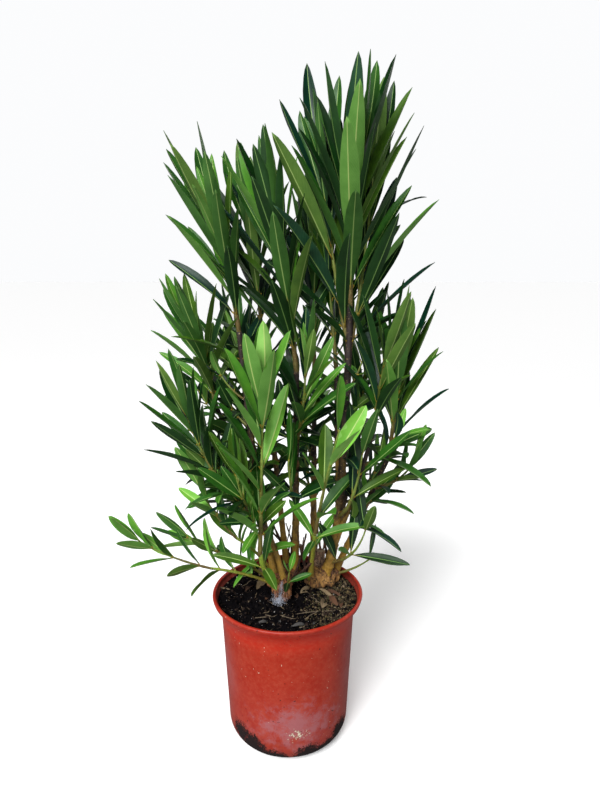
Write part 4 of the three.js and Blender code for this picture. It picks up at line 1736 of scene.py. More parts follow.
    def add_clear(self, leaves: Leaves, crown: Crown, closeness: float) -> int:
        """Keeps the leaves that stay in the solids' box and off the leaves already there.

        Args:
            leaves: the leaves to try, in order.
            crown: where they go.
            closeness: least distance between midlines, as a share of the mean width.

        Returns:
            How many were kept.
        """
        low, high = np.array(cad_box[0]), np.array(cad_box[1])
        low[2] = self.soil + self.headroom
        lines = leaves.midlines(self.SAMPLES)
        inside = ((lines > low) & (lines < high)).all(axis=(1, 2))
        batches = [batch for group in self.batches.values() for batch in group]
        others = np.concatenate([batch.midlines(self.SAMPLES) for batch in batches])
        breadth = np.concatenate([batch.width for batch in batches])
        kept: list[int] = []
        for i in np.flatnonzero(inside):
            if closeness:
                gap = np.linalg.norm(others[:, None] - lines[i][None, :, None], axis=-1).min((1, 2))
                if (gap < closeness * (breadth + leaves.width[i]) / 2).any():
                    continue
            kept.append(int(i))
            others = np.concatenate([others, lines[i : i + 1]])
            breadth = np.append(breadth, leaves.width[i])
        if kept:
            chosen = Leaves(*(getattr(leaves, name)[kept] for name in Leaves.__dataclass_fields__))
            self.batches.setdefault(crown, []).append(chosen)
        return len(kept)

    def grow_on_limb(self, plan: LimbPlan, number: int) -> None:
        """Adds older whorls on a limb's leafy part, opened wider and thinned out by age.

        Args:
            plan: the limb.
            number: its place in the table.
        """
        stem, radii = self.limbs[plan.name]
        numbers = np.random.default_rng(Seed.OLDER + number)
        spacing, first = 0.024, 0.4
        length = stem.length()
        rows = []
        for node, share in enumerate(np.arange(first, 0.97, spacing / length)):
            ripe = (share - first) / (1 - first)
            for turn in self.around(37 * number + node * self.whorl_turn):
                if numbers.uniform() > (0.6 + 0.4 * ripe) * self.ON_LIMB.get(plan.crown, 1.0):
                    continue
                turn += numbers.uniform(-14, 14)
                spread = lerp(64, 46, ripe) + numbers.uniform(-8, 8)
                size = lerp(0.068, 0.105, min(length / 0.5, 1.0) * lerp(0.5, 1.0, ripe))
                size *= numbers.uniform(0.85, 1.1)
                bend = np.radians(numbers.uniform(14, 34))
                root = self.root(stem, share, turn, spread, 0.6 * lerp(*radii, share))
                rows.append((*root, size, size * 0.185, bend, 0.2 * ripe))
        if rows:
            older = self.batch(rows, plan.crown, Seed.OLDER_FORM + number)
            self.add_clear(older, plan.crown, 0.36)

    def grow_side_twig(self, foot: Array, way: Array, length: float, crown: Crown, seed: int) -> None:
        """Adds a short leafy twig: two or three whorls of small leaves.

        Args:
            foot: where it leaves its limb.
            way: direction in which it sets out; it bends upwards from there.
            length: its length.
            crown: part of the crown that it is in.
            seed: picks its small differences.
        """
        numbers = np.random.default_rng(seed)
        tip = foot + unit(way + np.array([0, 0, 0.35])) * length
        stem = Stem(foot, foot + way * length * 0.5, tip)
        rows = []
        whorls = 2 if length < 0.05 else 3
        first = numbers.uniform(0, 360)
        for node, share in enumerate(np.linspace(0.42, 0.98, whorls)):
            rise = node / (whorls - 1)
            for turn in self.around(first + node * self.whorl_turn):
                turn += numbers.uniform(-10, 10)
                spread = lerp(58, 24, rise) + numbers.uniform(-6, 6)
                size = numbers.uniform(0.05, 0.084) * lerp(1.0, 0.85, rise)
                bend = np.radians(numbers.uniform(8, 26))
                root = self.root(stem, share, turn, spread, 0.0006)
                rows.append((*root, size, size * 0.235, bend, 0.5 + 0.5 * rise))
        if self.add_clear(self.batch(rows, crown, seed + 1), crown, 0.3) > 2:
            self.twigs.append((stem, (0.0016, 0.0009)))

    def grow_side_twigs(self, plan: LimbPlan, number: int) -> None:
        """Adds side twigs along a limb, on the side away from the shrub's middle.

        Args:
            plan: the limb.
            number: its place in the table.
        """
        stem, radii = self.limbs[plan.name]
        numbers = np.random.default_rng(Seed.SIDE + number)
        middle = np.array([0.03, 0.03, 0.0])
        for share in np.arange(0.2, 0.86, 0.036 / stem.length()):
            point = stem.at(share)
            bare = point[2] < self.soil + self.BARE_BELOW.get(plan.crown, 0.085)
            if bare or numbers.uniform() > self.TWIGGY.get(plan.crown, 1.0):
                continue
            outward = (point - middle) * [1, 1, 0]
            swing = np.radians(numbers.uniform(-75, 75))
            swung = outward * np.cos(swing) + np.cross([0, 0, 1], outward) * np.sin(swing)
            way = unit(unit(swung) + stem.way(share) * numbers.uniform(0.5, 1.1))
            foot = point + way * 0.5 * lerp(*radii, share)
            length = numbers.uniform(0.035, 0.068)
            seed = Seed.SIDE_TWIG + 50 * number + int(100 * share)
            self.grow_side_twig(foot, way, length, plan.crown, seed)

    def grow(self) -> None:
        """Grows everything, the solids' own leaves first."""
        self.grow_limbs()
        for number, plan in enumerate(SHOOTS):
            self.grow_shoot(plan, number)
        for number, plan in enumerate(SHOOTS):
            if plan.whorls > 4 and plan.crown not in self.YOUNG_CROWNS:
                self.grow_tip(self.shoots[plan.name][0], plan, number)
                self.grow_between(self.shoots[plan.name][0], plan, number)
        for number, plan in enumerate(LIMBS):
            self.grow_on_limb(plan, number)
        for number, plan in enumerate(LIMBS):
            self.grow_side_twigs(plan, number)


# Wood


@dataclass(frozen=True)
class StemForm:
    """How a stem's tube is shaped: a tapering bar with a swollen ring at each node.

    Attributes:
        ring: corners of each ring.
        step: length from ring to ring.
        node_gap: length from node to node.
        swelling: how much thicker it is at a node, as a share.
        relief: depth of the bark's relief, as a share of the radius.
        flare: how much thicker it is at its foot, as a share.
        flare_reach: length in which the flare falls to a third.
        buried: how far it reaches down beyond its foot.
        node_length: length in which a node's swelling falls to a third.
    """

    ring: int
    step: float
    node_gap: float
    swelling: float = 0.16
    relief: float = 0.05
    flare: float = 0.0
    flare_reach: float = 0.012
    buried: float = 0.003
    node_length: float = 0.0022

    def patch(self, stem: Stem, radii: Pair, seed: int) -> Patch:
        """The stem as a tube.

        The radius is lerp(foot, tip) times 1 + swelling at the nodes, + flare exp(-d / reach) for
        distance d from the foot, + relief noise.

        Args:
            stem: its line.
            radii: radius at foot and tip.
            seed: picks its relief.

        Returns:
            The lump of faces.
        """
        length = stem.length()
        start = -self.buried / length
        rows = max(6, int(length / self.step))
        share = np.linspace(start, 1, rows)
        far = np.maximum(share, 0) * length
        nodes = (far / self.node_gap) % 1
        ring_swell = np.exp(-(((nodes - 0.5) * self.node_gap / self.node_length) ** 2))
        bulge = 1 + self.swelling * ring_swell + self.flare * np.exp(-far / self.flare_reach)
        radius = lerp(*radii, np.clip(share, 0, 1)) * bulge
        ways = hoops(stem.way(share), self.ring)
        middle = stem.at(share)[:, None]
        rough = 1 + self.relief * ripple(middle + ways * radius[:, None, None], 0.006, seed)
        rings = middle + ways * column(radius[:, None] * rough)
        return tubes(rings[None], along=np.clip(share, 0, 1))


@dataclass
class Wood:
    """Limbs, twigs and stubs."""

    growth: Growth

    def stems(self) -> None:
        """Builds the limbs, woody and green apart, and the twigs."""
        woody = StemForm(ring=14, step=0.003, node_gap=0.032, flare=0.4, buried=0.008)
        green = StemForm(ring=10, step=0.004, node_gap=0.026, relief=0.04, flare=0.6, buried=0.006)
        twig = StemForm(ring=8, step=0.004, node_gap=0.022, swelling=0.22)
        # The old limbs' dark tip colour is painted shade: they darken upwards, where they stand among the
        # leaves.
        bark = StemBark("olive bark", 0.6, srgb(168, 130, 50), srgb(44, 33, 30), srgb(160, 134, 88), 0.36)
        young = StemBark("green bark", 0.5, srgb(142, 128, 44), srgb(138, 164, 54), srgb(180, 172, 96))
        fine = StemBark("twig bark", 0.52, srgb(104, 86, 42), srgb(128, 150, 62), srgb(150, 140, 84), 0.4)
        old_limbs = [plan for plan in LIMBS if plan.crown not in Growth.YOUNG_CROWNS]
        young_limbs = [plan for plan in LIMBS if plan.crown in Growth.YOUNG_CROWNS]
        # The front ones come before the low ones.
        young_limbs.sort(key=lambda plan: plan.crown)
        sets = (
            ("woody_stems", "bark", bark, woody, old_limbs),
            ("green_stems", "young_bark", young, green, young_limbs),
        )
        for name, slot, finish, form, plans in sets:
            nodes = tuple(plan.name for plan in plans)
            lines = [self.growth.limbs[node] for node in nodes]
            patches = [form.patch(*line, Seed.BARK + i) for i, line in enumerate(lines)]
            Piece(name, nodes, slot, (finish,)).build(Patch.joined(patches))
        fine_stems = [*self.growth.shoots.values(), *self.growth.twigs]
        patches = [twig.patch(*line, Seed.TWIG_BARK + i) for i, line in enumerate(fine_stems)]
        Piece("twigs", (), "bark", (fine,)).build(Patch.joined(patches))

    def stub(self, name: str, ragged: float, cut: Finish) -> None:
        """Builds a stub of dead wood: a rough tube that ends in a flat or a ragged top.

        Rows of shrinking rings close the top, so that the cut has a surface of its own.

        Args:
            name: its solid's name.
            ragged: how far the top's edge strays from flat.
            cut: finish of the top.
        """
        stem, radii = self.growth.limbs[name]
        walls, ring = 26, 28
        closing = [0.94, 0.7, 0.45, 0.22, 0.05]
        share = np.concatenate([np.linspace(-0.2, 1, walls), np.ones(len(closing))])
        shrink = np.concatenate([np.ones(walls), closing])
        ways = hoops(stem.way(share), ring)
        middle = stem.at(share)[:, None]
        far = np.maximum(share, 0) * stem.length()
        radius = lerp(*radii, np.clip(share, 0, 1)) * (1 + 0.5 * np.exp(-far / 0.01)) * shrink
        bare = middle + ways * radius[:, None, None]
        rough = 1 + 0.09 * ripple(bare * [1, 1, 0.35], 0.004, len(name))
        rings = middle + ways * column(radius[:, None] * rough)
        lift = (share >= 1)[:, None] * ragged * ripple(rings * [1, 1, 0], 0.004, 9)
        rings = rings + column(lift) * [0, 0, 1]
        top = walls - 1
        finish = np.zeros((len(share) - 1, ring), int)
        finish[top:] = 1
        old = OldWood("dead wood", 0.85, srgb(112, 78, 56), srgb(146, 118, 92), srgb(32, 24, 19), 240.0)
        patch = tubes(rings[None], finish, hard_rows=(top,))
        Piece(name + "_wood", (name,), "dead_wood", (old, cut)).build(patch)

    def dead_twigs(self) -> None:
        """Builds the dark tangle of dead twigs that stands between the stems."""
        numbers = np.random.default_rng(Seed.DEAD_TWIGS)
        form = StemForm(ring=7, step=0.004, node_gap=0.017, swelling=0.35, relief=0.16, buried=0.004)
        patches = []
        for i in range(30):
            foot = np.array([numbers.uniform(-0.024, 0.066), numbers.uniform(0.022, 0.082), 0.0])
            foot[2] = self.growth.soil + 0.003
            tilt = numbers.normal(0, 0.26, 2)
            height = numbers.uniform(0.03, 0.1)
            tip = foot + np.array([tilt[0], tilt[1], 1.0]) * height
            thick = numbers.uniform(0.0011, 0.0026)
            stem = Stem.bent(foot, tip, numbers.uniform(0.35, 0.7))
            patches.append(form.patch(stem, (thick, thick * 0.55), Seed.DEAD_BARK + i))
        dark = OldWood("dead twig", 0.88, srgb(70, 46, 36), srgb(122, 84, 62), srgb(20, 16, 13), 420.0)
        Piece("dead_twigs", (), "dead_wood", (dark,)).build(Patch.joined(patches))

    def stubs(self) -> None:
        """Builds both stubs."""
        middle = tuple(float(x) for x in self.growth.limbs["sawn_stub"][0].tip)
        sawn = SawnWood("saw cut", 0.8, srgb(160, 138, 108), srgb(112, 92, 70), middle)
        torn = Crumb("torn wood", 0.9, srgb(120, 100, 78), srgb(70, 56, 42))
        self.stub("sawn_stub", 0.0004, sawn)
        self.stub("dead_stub", 0.004, torn)


@dataclass(frozen=True)
class Stool:
    """A woody stool: knobby lobes that have grown together.

    Along each direction from the middle, the surface is where the sum over the lobes of
    exp(-2 q^2), with q the distance from a lobe's middle in its radii, last falls to exp(-2).
    """

    name: str
    lobes: tuple[tuple[Vector3, Vector3], ...]
    middle: Vector3
    finish: Finish

    def build(self, soil: float) -> None:
        """Builds the stool on the soil.

        Args:
            soil: height of the soil's surface.
        """
        rows, ring = 100, 170
        rise = np.linspace(-np.pi / 2 + 0.02, np.pi / 2 - 0.02, rows)[:, None]
        angle = circle(ring)[None]
        ways = np.stack(
            [np.cos(rise) * np.cos(angle), np.cos(rise) * np.sin(angle), np.sin(rise) + 0 * angle], -1
        )
        middle = np.array(self.middle) + [0, 0, soil]
        reach = np.linspace(0.0, 0.075, 240)
        points = middle + ways[:, :, None] * reach[:, None]
        full = np.zeros(points.shape[:-1])
        for place, radii in self.lobes:
            offset = (points - np.array(place) - [0, 0, soil]) / np.array(radii)
            full += np.exp(-2 * (offset**2).sum(-1))
        solid = full > np.exp(-2.0)
        last = len(reach) - 1 - np.argmax(solid[..., ::-1], axis=-1)
        radius = reach[last]
        for _ in range(2):
            radius = (radius + np.roll(radius, 1, 1) + np.roll(radius, -1, 1)) / 3
            radius[1:-1] = (radius[:-2] + radius[1:-1] + radius[2:]) / 3
        bare = middle + ways * column(radius)
        knobs = 0.0028 * ripple(bare, 0.0095, 3) + 0.0011 * ripple(bare * [1, 1, 0.35], 0.0038, 5)
        knobs -= 0.0021 * np.abs(ripple(bare * [1, 1, 0.5], 0.0068, 7))
        knobs += 0.0005 * ripple(bare, 0.0021, 9)
        rings = middle + ways * column(radius + knobs)
        rings[..., 2] = np.maximum(rings[..., 2], soil - 0.003)
        Piece(self.name + "_wood", (self.name,), "stools", (self.finish,)).build(tubes(rings[None]))


# Pot and soil


@dataclass
class NurseryPot:
    """A round nursery pot with a rounded foot and a flared, rolled rim.

    Attributes:
        height: height over all, from the solid's box.
        rim: the rim's outer radius, from the solid's box.
        ring: corners of each ring.
        wall: the wall's thickness.
        bead: half the thickness of the rolled rim.
        overhang: how far the rim stands out from the flare.
        flare_foot: height where the wall begins to flare.
        flare_top: height where the rim begins.
        neck: outer radius where the wall begins to flare.
        heel: outer radius where the straight wall begins.
        heel_height: height of the rounded heel.
        base: radius of the flat underside.
    """

    height: float
    rim: float
    ring: int = 160
    wall: float = 0.003
    bead: float = 0.0026
    overhang: float = 0.0004
    flare_foot: float = 0.188
    flare_top: float = 0.217
    neck: float = 0.097
    heel: float = 0.0895
    heel_height: float = 0.026
    base: float = 0.068

    def outer(self, height: Array) -> Array:
        """The wall's outer radius at a height: straight from the heel, then flaring by its square.

        Args:
            height: heights above the ground.

        Returns:
            Radii.
        """
        share = (height - self.heel_height) / (self.flare_foot - self.heel_height)
        straight = lerp(self.heel, self.neck, share)
        share = (height - self.flare_foot) / (self.flare_top - self.flare_foot)
        flare = lerp(self.neck, self.rim - self.overhang, np.clip(share, 0, None) ** 2)
        return np.where(height > self.flare_foot, flare, straight)

    def wall_rows(self, inset: float, top: float) -> Array:
        """Radius and height of the wall's rows, from the base's edge up, drawn in by an inset.

        Args:
            inset: how far it is drawn in.
            top: height of the last row.

        Returns:
            The rows, (rows, 2).
        """
        turn = np.linspace(-np.pi / 2, 0, 12)[:-1]
        wide, tall = self.heel - self.base - inset, self.heel_height - inset
        heel = np.stack([self.base + wide * np.cos(turn), self.heel_height + tall * np.sin(turn)], -1)
        low = np.linspace(self.heel_height, self.flare_foot, 22)[:-1]
        high = np.linspace(self.flare_foot, top, 14)
        heights = np.concatenate([low, high])
        return np.concatenate([heel, np.stack([self.outer(heights) - inset, heights], -1)])

    def profile(self) -> Array:
        """All rows, from the middle of the underside, over the rim and down to the floor inside.

        Returns:
            Radius and height of each row, (rows, 2).
        """
        under = np.array([[0.001, 0.0], [0.02, 0.0], [0.045, 0.0]])
        turn = np.radians(np.linspace(-20, 200, 14))
        rim = np.array([self.rim - self.bead, self.height - self.bead])
        bead = rim + self.bead * np.stack([np.cos(turn), np.sin(turn)], -1)
        inner = self.wall_rows(self.wall, self.flare_top)[::-1]
        floor = np.array([[0.03, self.wall], [0.001, self.wall]])
        return np.concatenate([under, self.wall_rows(0.0, self.flare_top - 0.001), bead, inner, floor])

    def inside_from(self) -> int:
        """The row of the profile where the rim has turned inwards.

        Returns:
            The row's number.
        """
        radius = self.profile()[:, 0]
        top = int(np.argmax(radius))
        return top + int(np.argmax(radius[top:] < self.rim - 1.8 * self.bead))

    def build(self) -> None:
        """Builds the pot."""

        def dents(points: Array) -> Array:
            """Thin plastic is never quite round: slow waves up to half a millimetre."""
            high = np.clip(points[..., 2] / self.height, 0, 1)
            return 0.00035 * high * ripple(points, 0.06, 11)

        plastic = PotPlastic(
            "terracotta plastic",
            0.42,
            srgb(151, 31, 10),
            # Under the rim: less faded, and lightened as painted light.
            srgb(190, 32, 9),
            srgb(156, 96, 100),
            srgb(214, 204, 180),
            bleach_at=(0.016, -0.088, 0.064),
            flakes_at=(0.014, -0.088, 0.05),
            stains_at=(
                (-0.066, -0.062, 0.034),
                (-0.05, -0.074, 0.022),
                (-0.02, -0.084, 0.002),
                (0.032, -0.083, 0.01),
                (0.056, -0.068, 0.006),
                (0.076, -0.048, 0.026),
                (0.02, 0.09, 0.01),
                (-0.08, 0.03, 0.005),
            ),
            # Painted sky reflections on the pot's left and right edges.
            hazes_at=((-0.094, -0.03, 0.11), (0.095, -0.025, 0.13)),
        )
        soiled = PotPlastic("soiled plastic", 0.7, srgb(84, 26, 18), srgb(108, 28, 18), srgb(96, 60, 56))
        rings = turned(self.profile(), self.ring, dents)
        finish = np.zeros((rings.shape[1] - 1, self.ring), int)
        finish[self.inside_from() :] = 1
        Piece("nursery_pot", ("pot",), "pot", (plastic, soiled)).build(tubes(rings, finish))


@dataclass
class PottingMix:
    """The mix in the pot, with crumbs, fibres, fallen leaves, sticks and a web lying on it.

    Attributes:
        level: height of its surface.
        pot: the pot that it fills.
        edge_drop: how much lower it lies at the wall.
        lip: how far from the wall it begins to drop.
        gap: how clear it stands of the wall.
        moss_from: where the mossy litter begins, along X.
        stools: where each stool stands, and how far round it nothing lies.
    """

    level: float
    pot: NurseryPot
    edge_drop: float = 0.003
    lip: float = 0.007
    gap: float = 0.0003
    moss_from: float = 0.036
    stools: tuple[Vector3, ...] = ((-0.009, 0.016, 0.03), (0.053, 0.043, 0.03))

    def edge(self) -> float:
        """Radius of the mix where it meets the wall."""
        height = np.array(self.level - self.edge_drop)
        return float(self.pot.outer(height)) - self.pot.wall - self.gap

    def height(self, x: Array, y: Array) -> Array:
        """The surface's height: level, lower at the wall, with clods of a millimetre or two.

        Args:
            x: places from left to right.
            y: places from front to back.

        Returns:
            Heights.
        """
        away = np.hypot(x, y)
        slope = np.clip((away - self.edge() + self.lip) / self.lip, 0, 1)
        flat = np.stack([x, y, np.zeros_like(x)], axis=-1)
        clods = 0.0018 * ripple(flat, 0.011, 21) + 0.0013 * ripple(flat, 0.004, 22)
        return self.level - self.edge_drop * slope + (clods - 0.0006) * (1 - slope)

    def surface(self) -> None:
        """Builds the mix: its wall below, and its clodded surface in rings towards the middle."""
        wall = self.pot.wall_rows(self.pot.wall + self.gap, self.level - self.edge_drop)
        out = np.linspace(self.edge() - 0.0015, 0.001, 54)
        top = np.stack([out, np.full_like(out, self.level)], axis=-1)
        rings = turned(np.concatenate([wall, top]), 200)
        surface = rings[:, len(wall) :]
        surface[..., 2] = self.height(surface[..., 0], surface[..., 1])
        peat, fibre, moss = srgb(5, 4, 7), srgb(20, 17, 17), srgb(72, 62, 48)
        loam = Loam("potting mix", 0.96, peat, fibre, moss, self.moss_from)
        Piece("potting_mix", ("soil",), "soil", (loam,)).build(tubes(rings))

    def scatter(self, count: int, numbers: np.random.Generator, moss: float | None = None) -> Array:
        """Seeded places on the surface, clear of the stools.

        Args:
            count: how many to try.
            numbers: the stream of numbers.
            moss: keeps only places right of this line, with a soft edge, where given.

        Returns:
            Places, (n, 3).
        """
        away = np.sqrt(numbers.uniform(0, 1, count)) * (self.edge() - 0.002)
        angle = numbers.uniform(0, FULL_TURN, count)
        x, y = away * np.cos(angle), away * np.sin(angle)
        keep = np.ones(count, bool)
        for stool_x, stool_y, reach in self.stools:
            keep &= np.hypot((x - stool_x) * 1.5, y - stool_y) > reach
        if moss is not None:
            keep &= x + numbers.normal(0, 0.014, count) > moss
        return np.stack([x, y, self.height(x, y)], axis=-1)[keep]

    @staticmethod
    def bits(places: Array, sizes: Array, tones: Array, numbers: np.random.Generator) -> Patch:
        """Small faceted bits: two rows of five faces, each corner strayed, turned at random.

        Args:
            places: where they lie, (n, 3).
            sizes: half sizes along, across and up, (n, 3).
            tones: finish number of each.
            numbers: the stream of numbers.

        Returns:
            The lump of faces.
        """
        count, ring = len(places), 5
        angle = circle(ring)
        radius = np.array([0.5, 1.0, 0.45])[:, None]
        height = np.array([-0.9, 0.0, 0.9])[:, None] + 0 * angle
        shape = np.stack([radius * np.cos(angle), radius * np.sin(angle), height], axis=-1)
        shape = shape * numbers.uniform(0.7, 1.3, (count, 3, ring, 1)) * sizes[:, None, None]
        yaw = numbers.uniform(0, FULL_TURN, count)
        tilt = numbers.normal(0, 0.25, count)
        cos, sin, steep, level = np.cos(yaw), np.sin(yaw), np.sin(tilt), np.cos(tilt)
        turn = np.array(
            [
                [cos * level, -sin, cos * steep],
                [sin * level, cos, sin * steep],
                [-steep, np.zeros(count), level],
            ]
        )
        corners = np.einsum("ijn,nrkj->nrki", turn, shape) + places[:, None, None]
        return tubes(corners, tones[:, None, None])

    def crumbs(self) -> None:
        """Builds peat crumbs, bark fibre, grit and, on one side, golden mossy litter."""
        numbers = np.random.default_rng(Seed.CRUMBS)
        peat, bark, grit, gold, olive, tan = range(6)
        kinds = (
            (2600, None, (0.0016, 0.0012, 0.001), (peat, peat, peat, peat, bark)),
            (420, None, (0.0042, 0.0004, 0.0004), (bark, peat, bark, tan)),
            (70, None, (0.0028, 0.0016, 0.0004), (bark, tan, peat)),
            (240, None, (0.0005, 0.0004, 0.0004), (grit,)),
            (12500, self.moss_from, (0.0009, 0.0008, 0.0007), (gold, olive, olive, tan, bark, gold)),
        )
        patches = []
        for count, moss, size, tones in kinds:
            places = self.scatter(count, numbers, moss)
            scale = numbers.lognormal(0, 0.35, (len(places), 1))
            sizes = np.array(size) * scale
            places[:, 2] += 0.35 * sizes[:, 2]
            picked = numbers.choice(np.array(tones), len(places))
            patches.append(self.bits(places, sizes, picked, numbers))
        finishes = (
            Crumb("peat crumb", 0.97, srgb(7, 6, 9), srgb(18, 15, 16), 0.05),
            Crumb("bark fibre", 0.92, srgb(56, 44, 38), srgb(24, 19, 18), 0.08),
            Crumb("grit", 0.7, srgb(196, 194, 190), srgb(132, 130, 128)),
            Crumb("golden moss", 0.95, srgb(114, 96, 66), srgb(64, 54, 40), 0.08),
            Crumb("olive moss", 0.95, srgb(84, 80, 54), srgb(44, 43, 32), 0.08),
            Crumb("tan litter", 0.92, srgb(136, 120, 96), srgb(78, 66, 52), 0.08),
        )
        Piece("mix_crumbs", (), "soil", finishes).build(Patch.joined(patches))

    def fallen_leaves(self) -> None:
        """Builds the dry leaves: curled brown, pale tan and grey ones."""
        tan, brown, grey = range(3)
        rows = (
            (-0.064, 0.006, 62, 0.034, 0.01, 1.7, brown),
            (-0.048, 0.014, 58, 0.034, 0.013, 0.4, tan),
            (-0.046, 0.054, 80, 0.03, 0.012, 0.4, tan),
            (-0.033, -0.017, 66, 0.02, 0.006, 2.0, brown),
            (0.018, 0.0, 40, 0.02, 0.01, 1.0, tan),
            (0.014, -0.016, 100, 0.016, 0.008, 1.2, brown),
            (0.046, 0.012, -62, 0.036, 0.006, 0.6, tan),
            (0.056, 0.01, -50, 0.034, 0.008, 1.3, brown),
            (0.062, -0.008, -80, 0.034, 0.01, 1.2, brown),
            (0.0493, -0.04, 74, 0.024, 0.012, 0.7, tan),
            (0.076, -0.04, 95, 0.016, 0.008, 1.0, brown),
            (0.006, -0.085, 12, 0.026, 0.006, 1.3, grey),
            (0.034, -0.084, 58, 0.024, 0.005, 1.5, grey),
            (-0.04, -0.08, 14, 0.018, 0.005, 1.2, grey),
            (-0.008, -0.074, 120, 0.014, 0.005, 1.6, grey),
            (0.03, 0.088, 10, 0.03, 0.01, 0.7, brown),
            (-0.04, 0.08, -30, 0.032, 0.01, 0.9, tan),
            (0.07, 0.06, 120, 0.028, 0.009, 1.1, brown),
            (0.012, 0.03, 84, 0.03, 0.011, 0.8, tan),
            (0.028, 0.042, 70, 0.034, 0.014, 0.6, grey),
        )
        x, y, turn, length, width, bend, tone = (np.array(v) for v in zip(*rows))
        turn = np.radians(turn)
        numbers = np.random.default_rng(Seed.DRY_LEAVES)
        tilt = numbers.uniform(0.12, 0.4, len(rows))
        flat = np.stack([np.cos(turn), np.sin(turn), np.zeros(len(rows))], -1)
        along = unit(flat + column(tilt) * [0, 0, 1])
        lean = unit(np.array([0.0, -0.45, 0.9]))
        upper = unit(lean - column(along @ lean) * along)
        base = np.stack([x, y, self.height(x, y) + 0.001], -1)
        fold = numbers.uniform(0.4, 0.9, len(rows))
        twist = numbers.normal(0, 0.6, len(rows))
        sway = numbers.normal(0, 0.08, len(rows))
        leaves = Leaves(base, along, upper, length, width, bend, fold, twist, sway, tone)
        finishes = []
        for name, light, dark in (
            ("tan dry leaf", srgb(146, 128, 98), srgb(86, 70, 52)),
            ("brown dry leaf", srgb(98, 66, 46), srgb(52, 36, 27)),
            ("grey dry leaf", srgb(86, 84, 82), srgb(42, 40, 40)),
        ):
            finishes.append(LeafSkin(name, 0.8, light, dark, light))
            finishes.append(LeafSkin(name + " underside", 0.85, light, dark, light))
            finishes.append(RibSkin(name + " rib", 0.8, dark, light))
        form = LeafForm(stalk_half=0.0006, stalk_depth=0.0006, rib_half=0.0004, rib_depth=0.0004)
        Piece("fallen_leaves", (), "soil", tuple(finishes)).build(form.patch(leaves))

    def threads(self) -> None:
        """Builds the white web at the left stool's foot and the thin sticks on the mix."""
        numbers = np.random.default_rng(Seed.THREADS)
        rows, ring = 9, 4
        share = np.linspace(0, 1, rows)[None, :, None]

        def strands(start: Array, end: Array, stray: float, thick: Array, seed: int) -> Patch:
            """Thin tubes from start to end, bowed sideways by noise.

            Args:
                start: where each begins.
                end: where each ends.
                stray: how far it bows.
                thick: its radius.
                seed: picks the bows.

            Returns:
                The lump of faces.
            """
            line = lerp(start[:, None], end[:, None], share)
            bow = np.sin(np.pi * share)
            offsets = np.stack([ripple(line, 0.006, seed + i) for i in range(3)], -1)
            line = line + offsets * stray * bow
            ways = hoops(unit(np.gradient(line, axis=1)), ring)
            return tubes(line[:, :, None] + ways * thick[:, None, None, None])

        count = 360
        core = np.array([-0.012, -0.024, self.level + 0.003])
        cloud = numbers.normal(0, 1, (count, 3)) * [0.0034, 0.003, 0.0034]
        start = core + cloud
        end = start + numbers.normal(0, 1, (count, 3)) * [0.0036, 0.0034, 0.006]
        start[:, 2] = np.maximum(start[:, 2], self.level + 0.0005)
        end[:, 2] = np.maximum(end[:, 2], self.level + 0.0005)
        climb = numbers.uniform(0, 1, (40, 1))
        low = core + numbers.normal(0, 1, (40, 3)) * [0.002, 0.002, 0.001]
        high = low + np.array([0.0035, 0.006, 0.03]) * climb + numbers.normal(0, 0.0007, (40, 3))
        thin = np.full(count, 0.000036)
        web = [
            strands(start, end, 0.002, thin, 61),
            strands(low, high, 0.0008, np.full(40, 0.00005), 71),
        ]
        white = Crumb("web", 0.6, srgb(226, 230, 242), srgb(190, 198, 216))
        Piece("web_tuft", (), "soil", (white,)).build(Patch.joined(web))

        ends = np.array(
            [
                [[-0.0466, -0.0648, 0.0008], [0.0715, -0.045, 0.0014]],
                [[-0.03, -0.058, 0.0015], [0.012, -0.066, 0.0006]],
                [[0.02, -0.07, 0.0006], [0.045, -0.05, 0.003]],
                [[0.03, 0.0, 0.001], [0.047, -0.028, 0.0018]],
                [[-0.07, 0.02, 0.0008], [-0.045, 0.045, 0.001]],
            ]
        )
        ends[..., 2] += self.level
        sticks = strands(ends[:, 0], ends[:, 1], 0.0016, np.full(len(ends), 0.00055), 81)
        straw = Crumb("stick", 0.8, srgb(132, 118, 98), srgb(84, 72, 58))
        Piece("thin_sticks", (), "soil", (straw,)).build(sticks)

    def build(self) -> None:
        """Builds the mix and what lies on it."""
        self.surface()
        self.crumbs()
        self.fallen_leaves()
        self.threads()


# Foliage


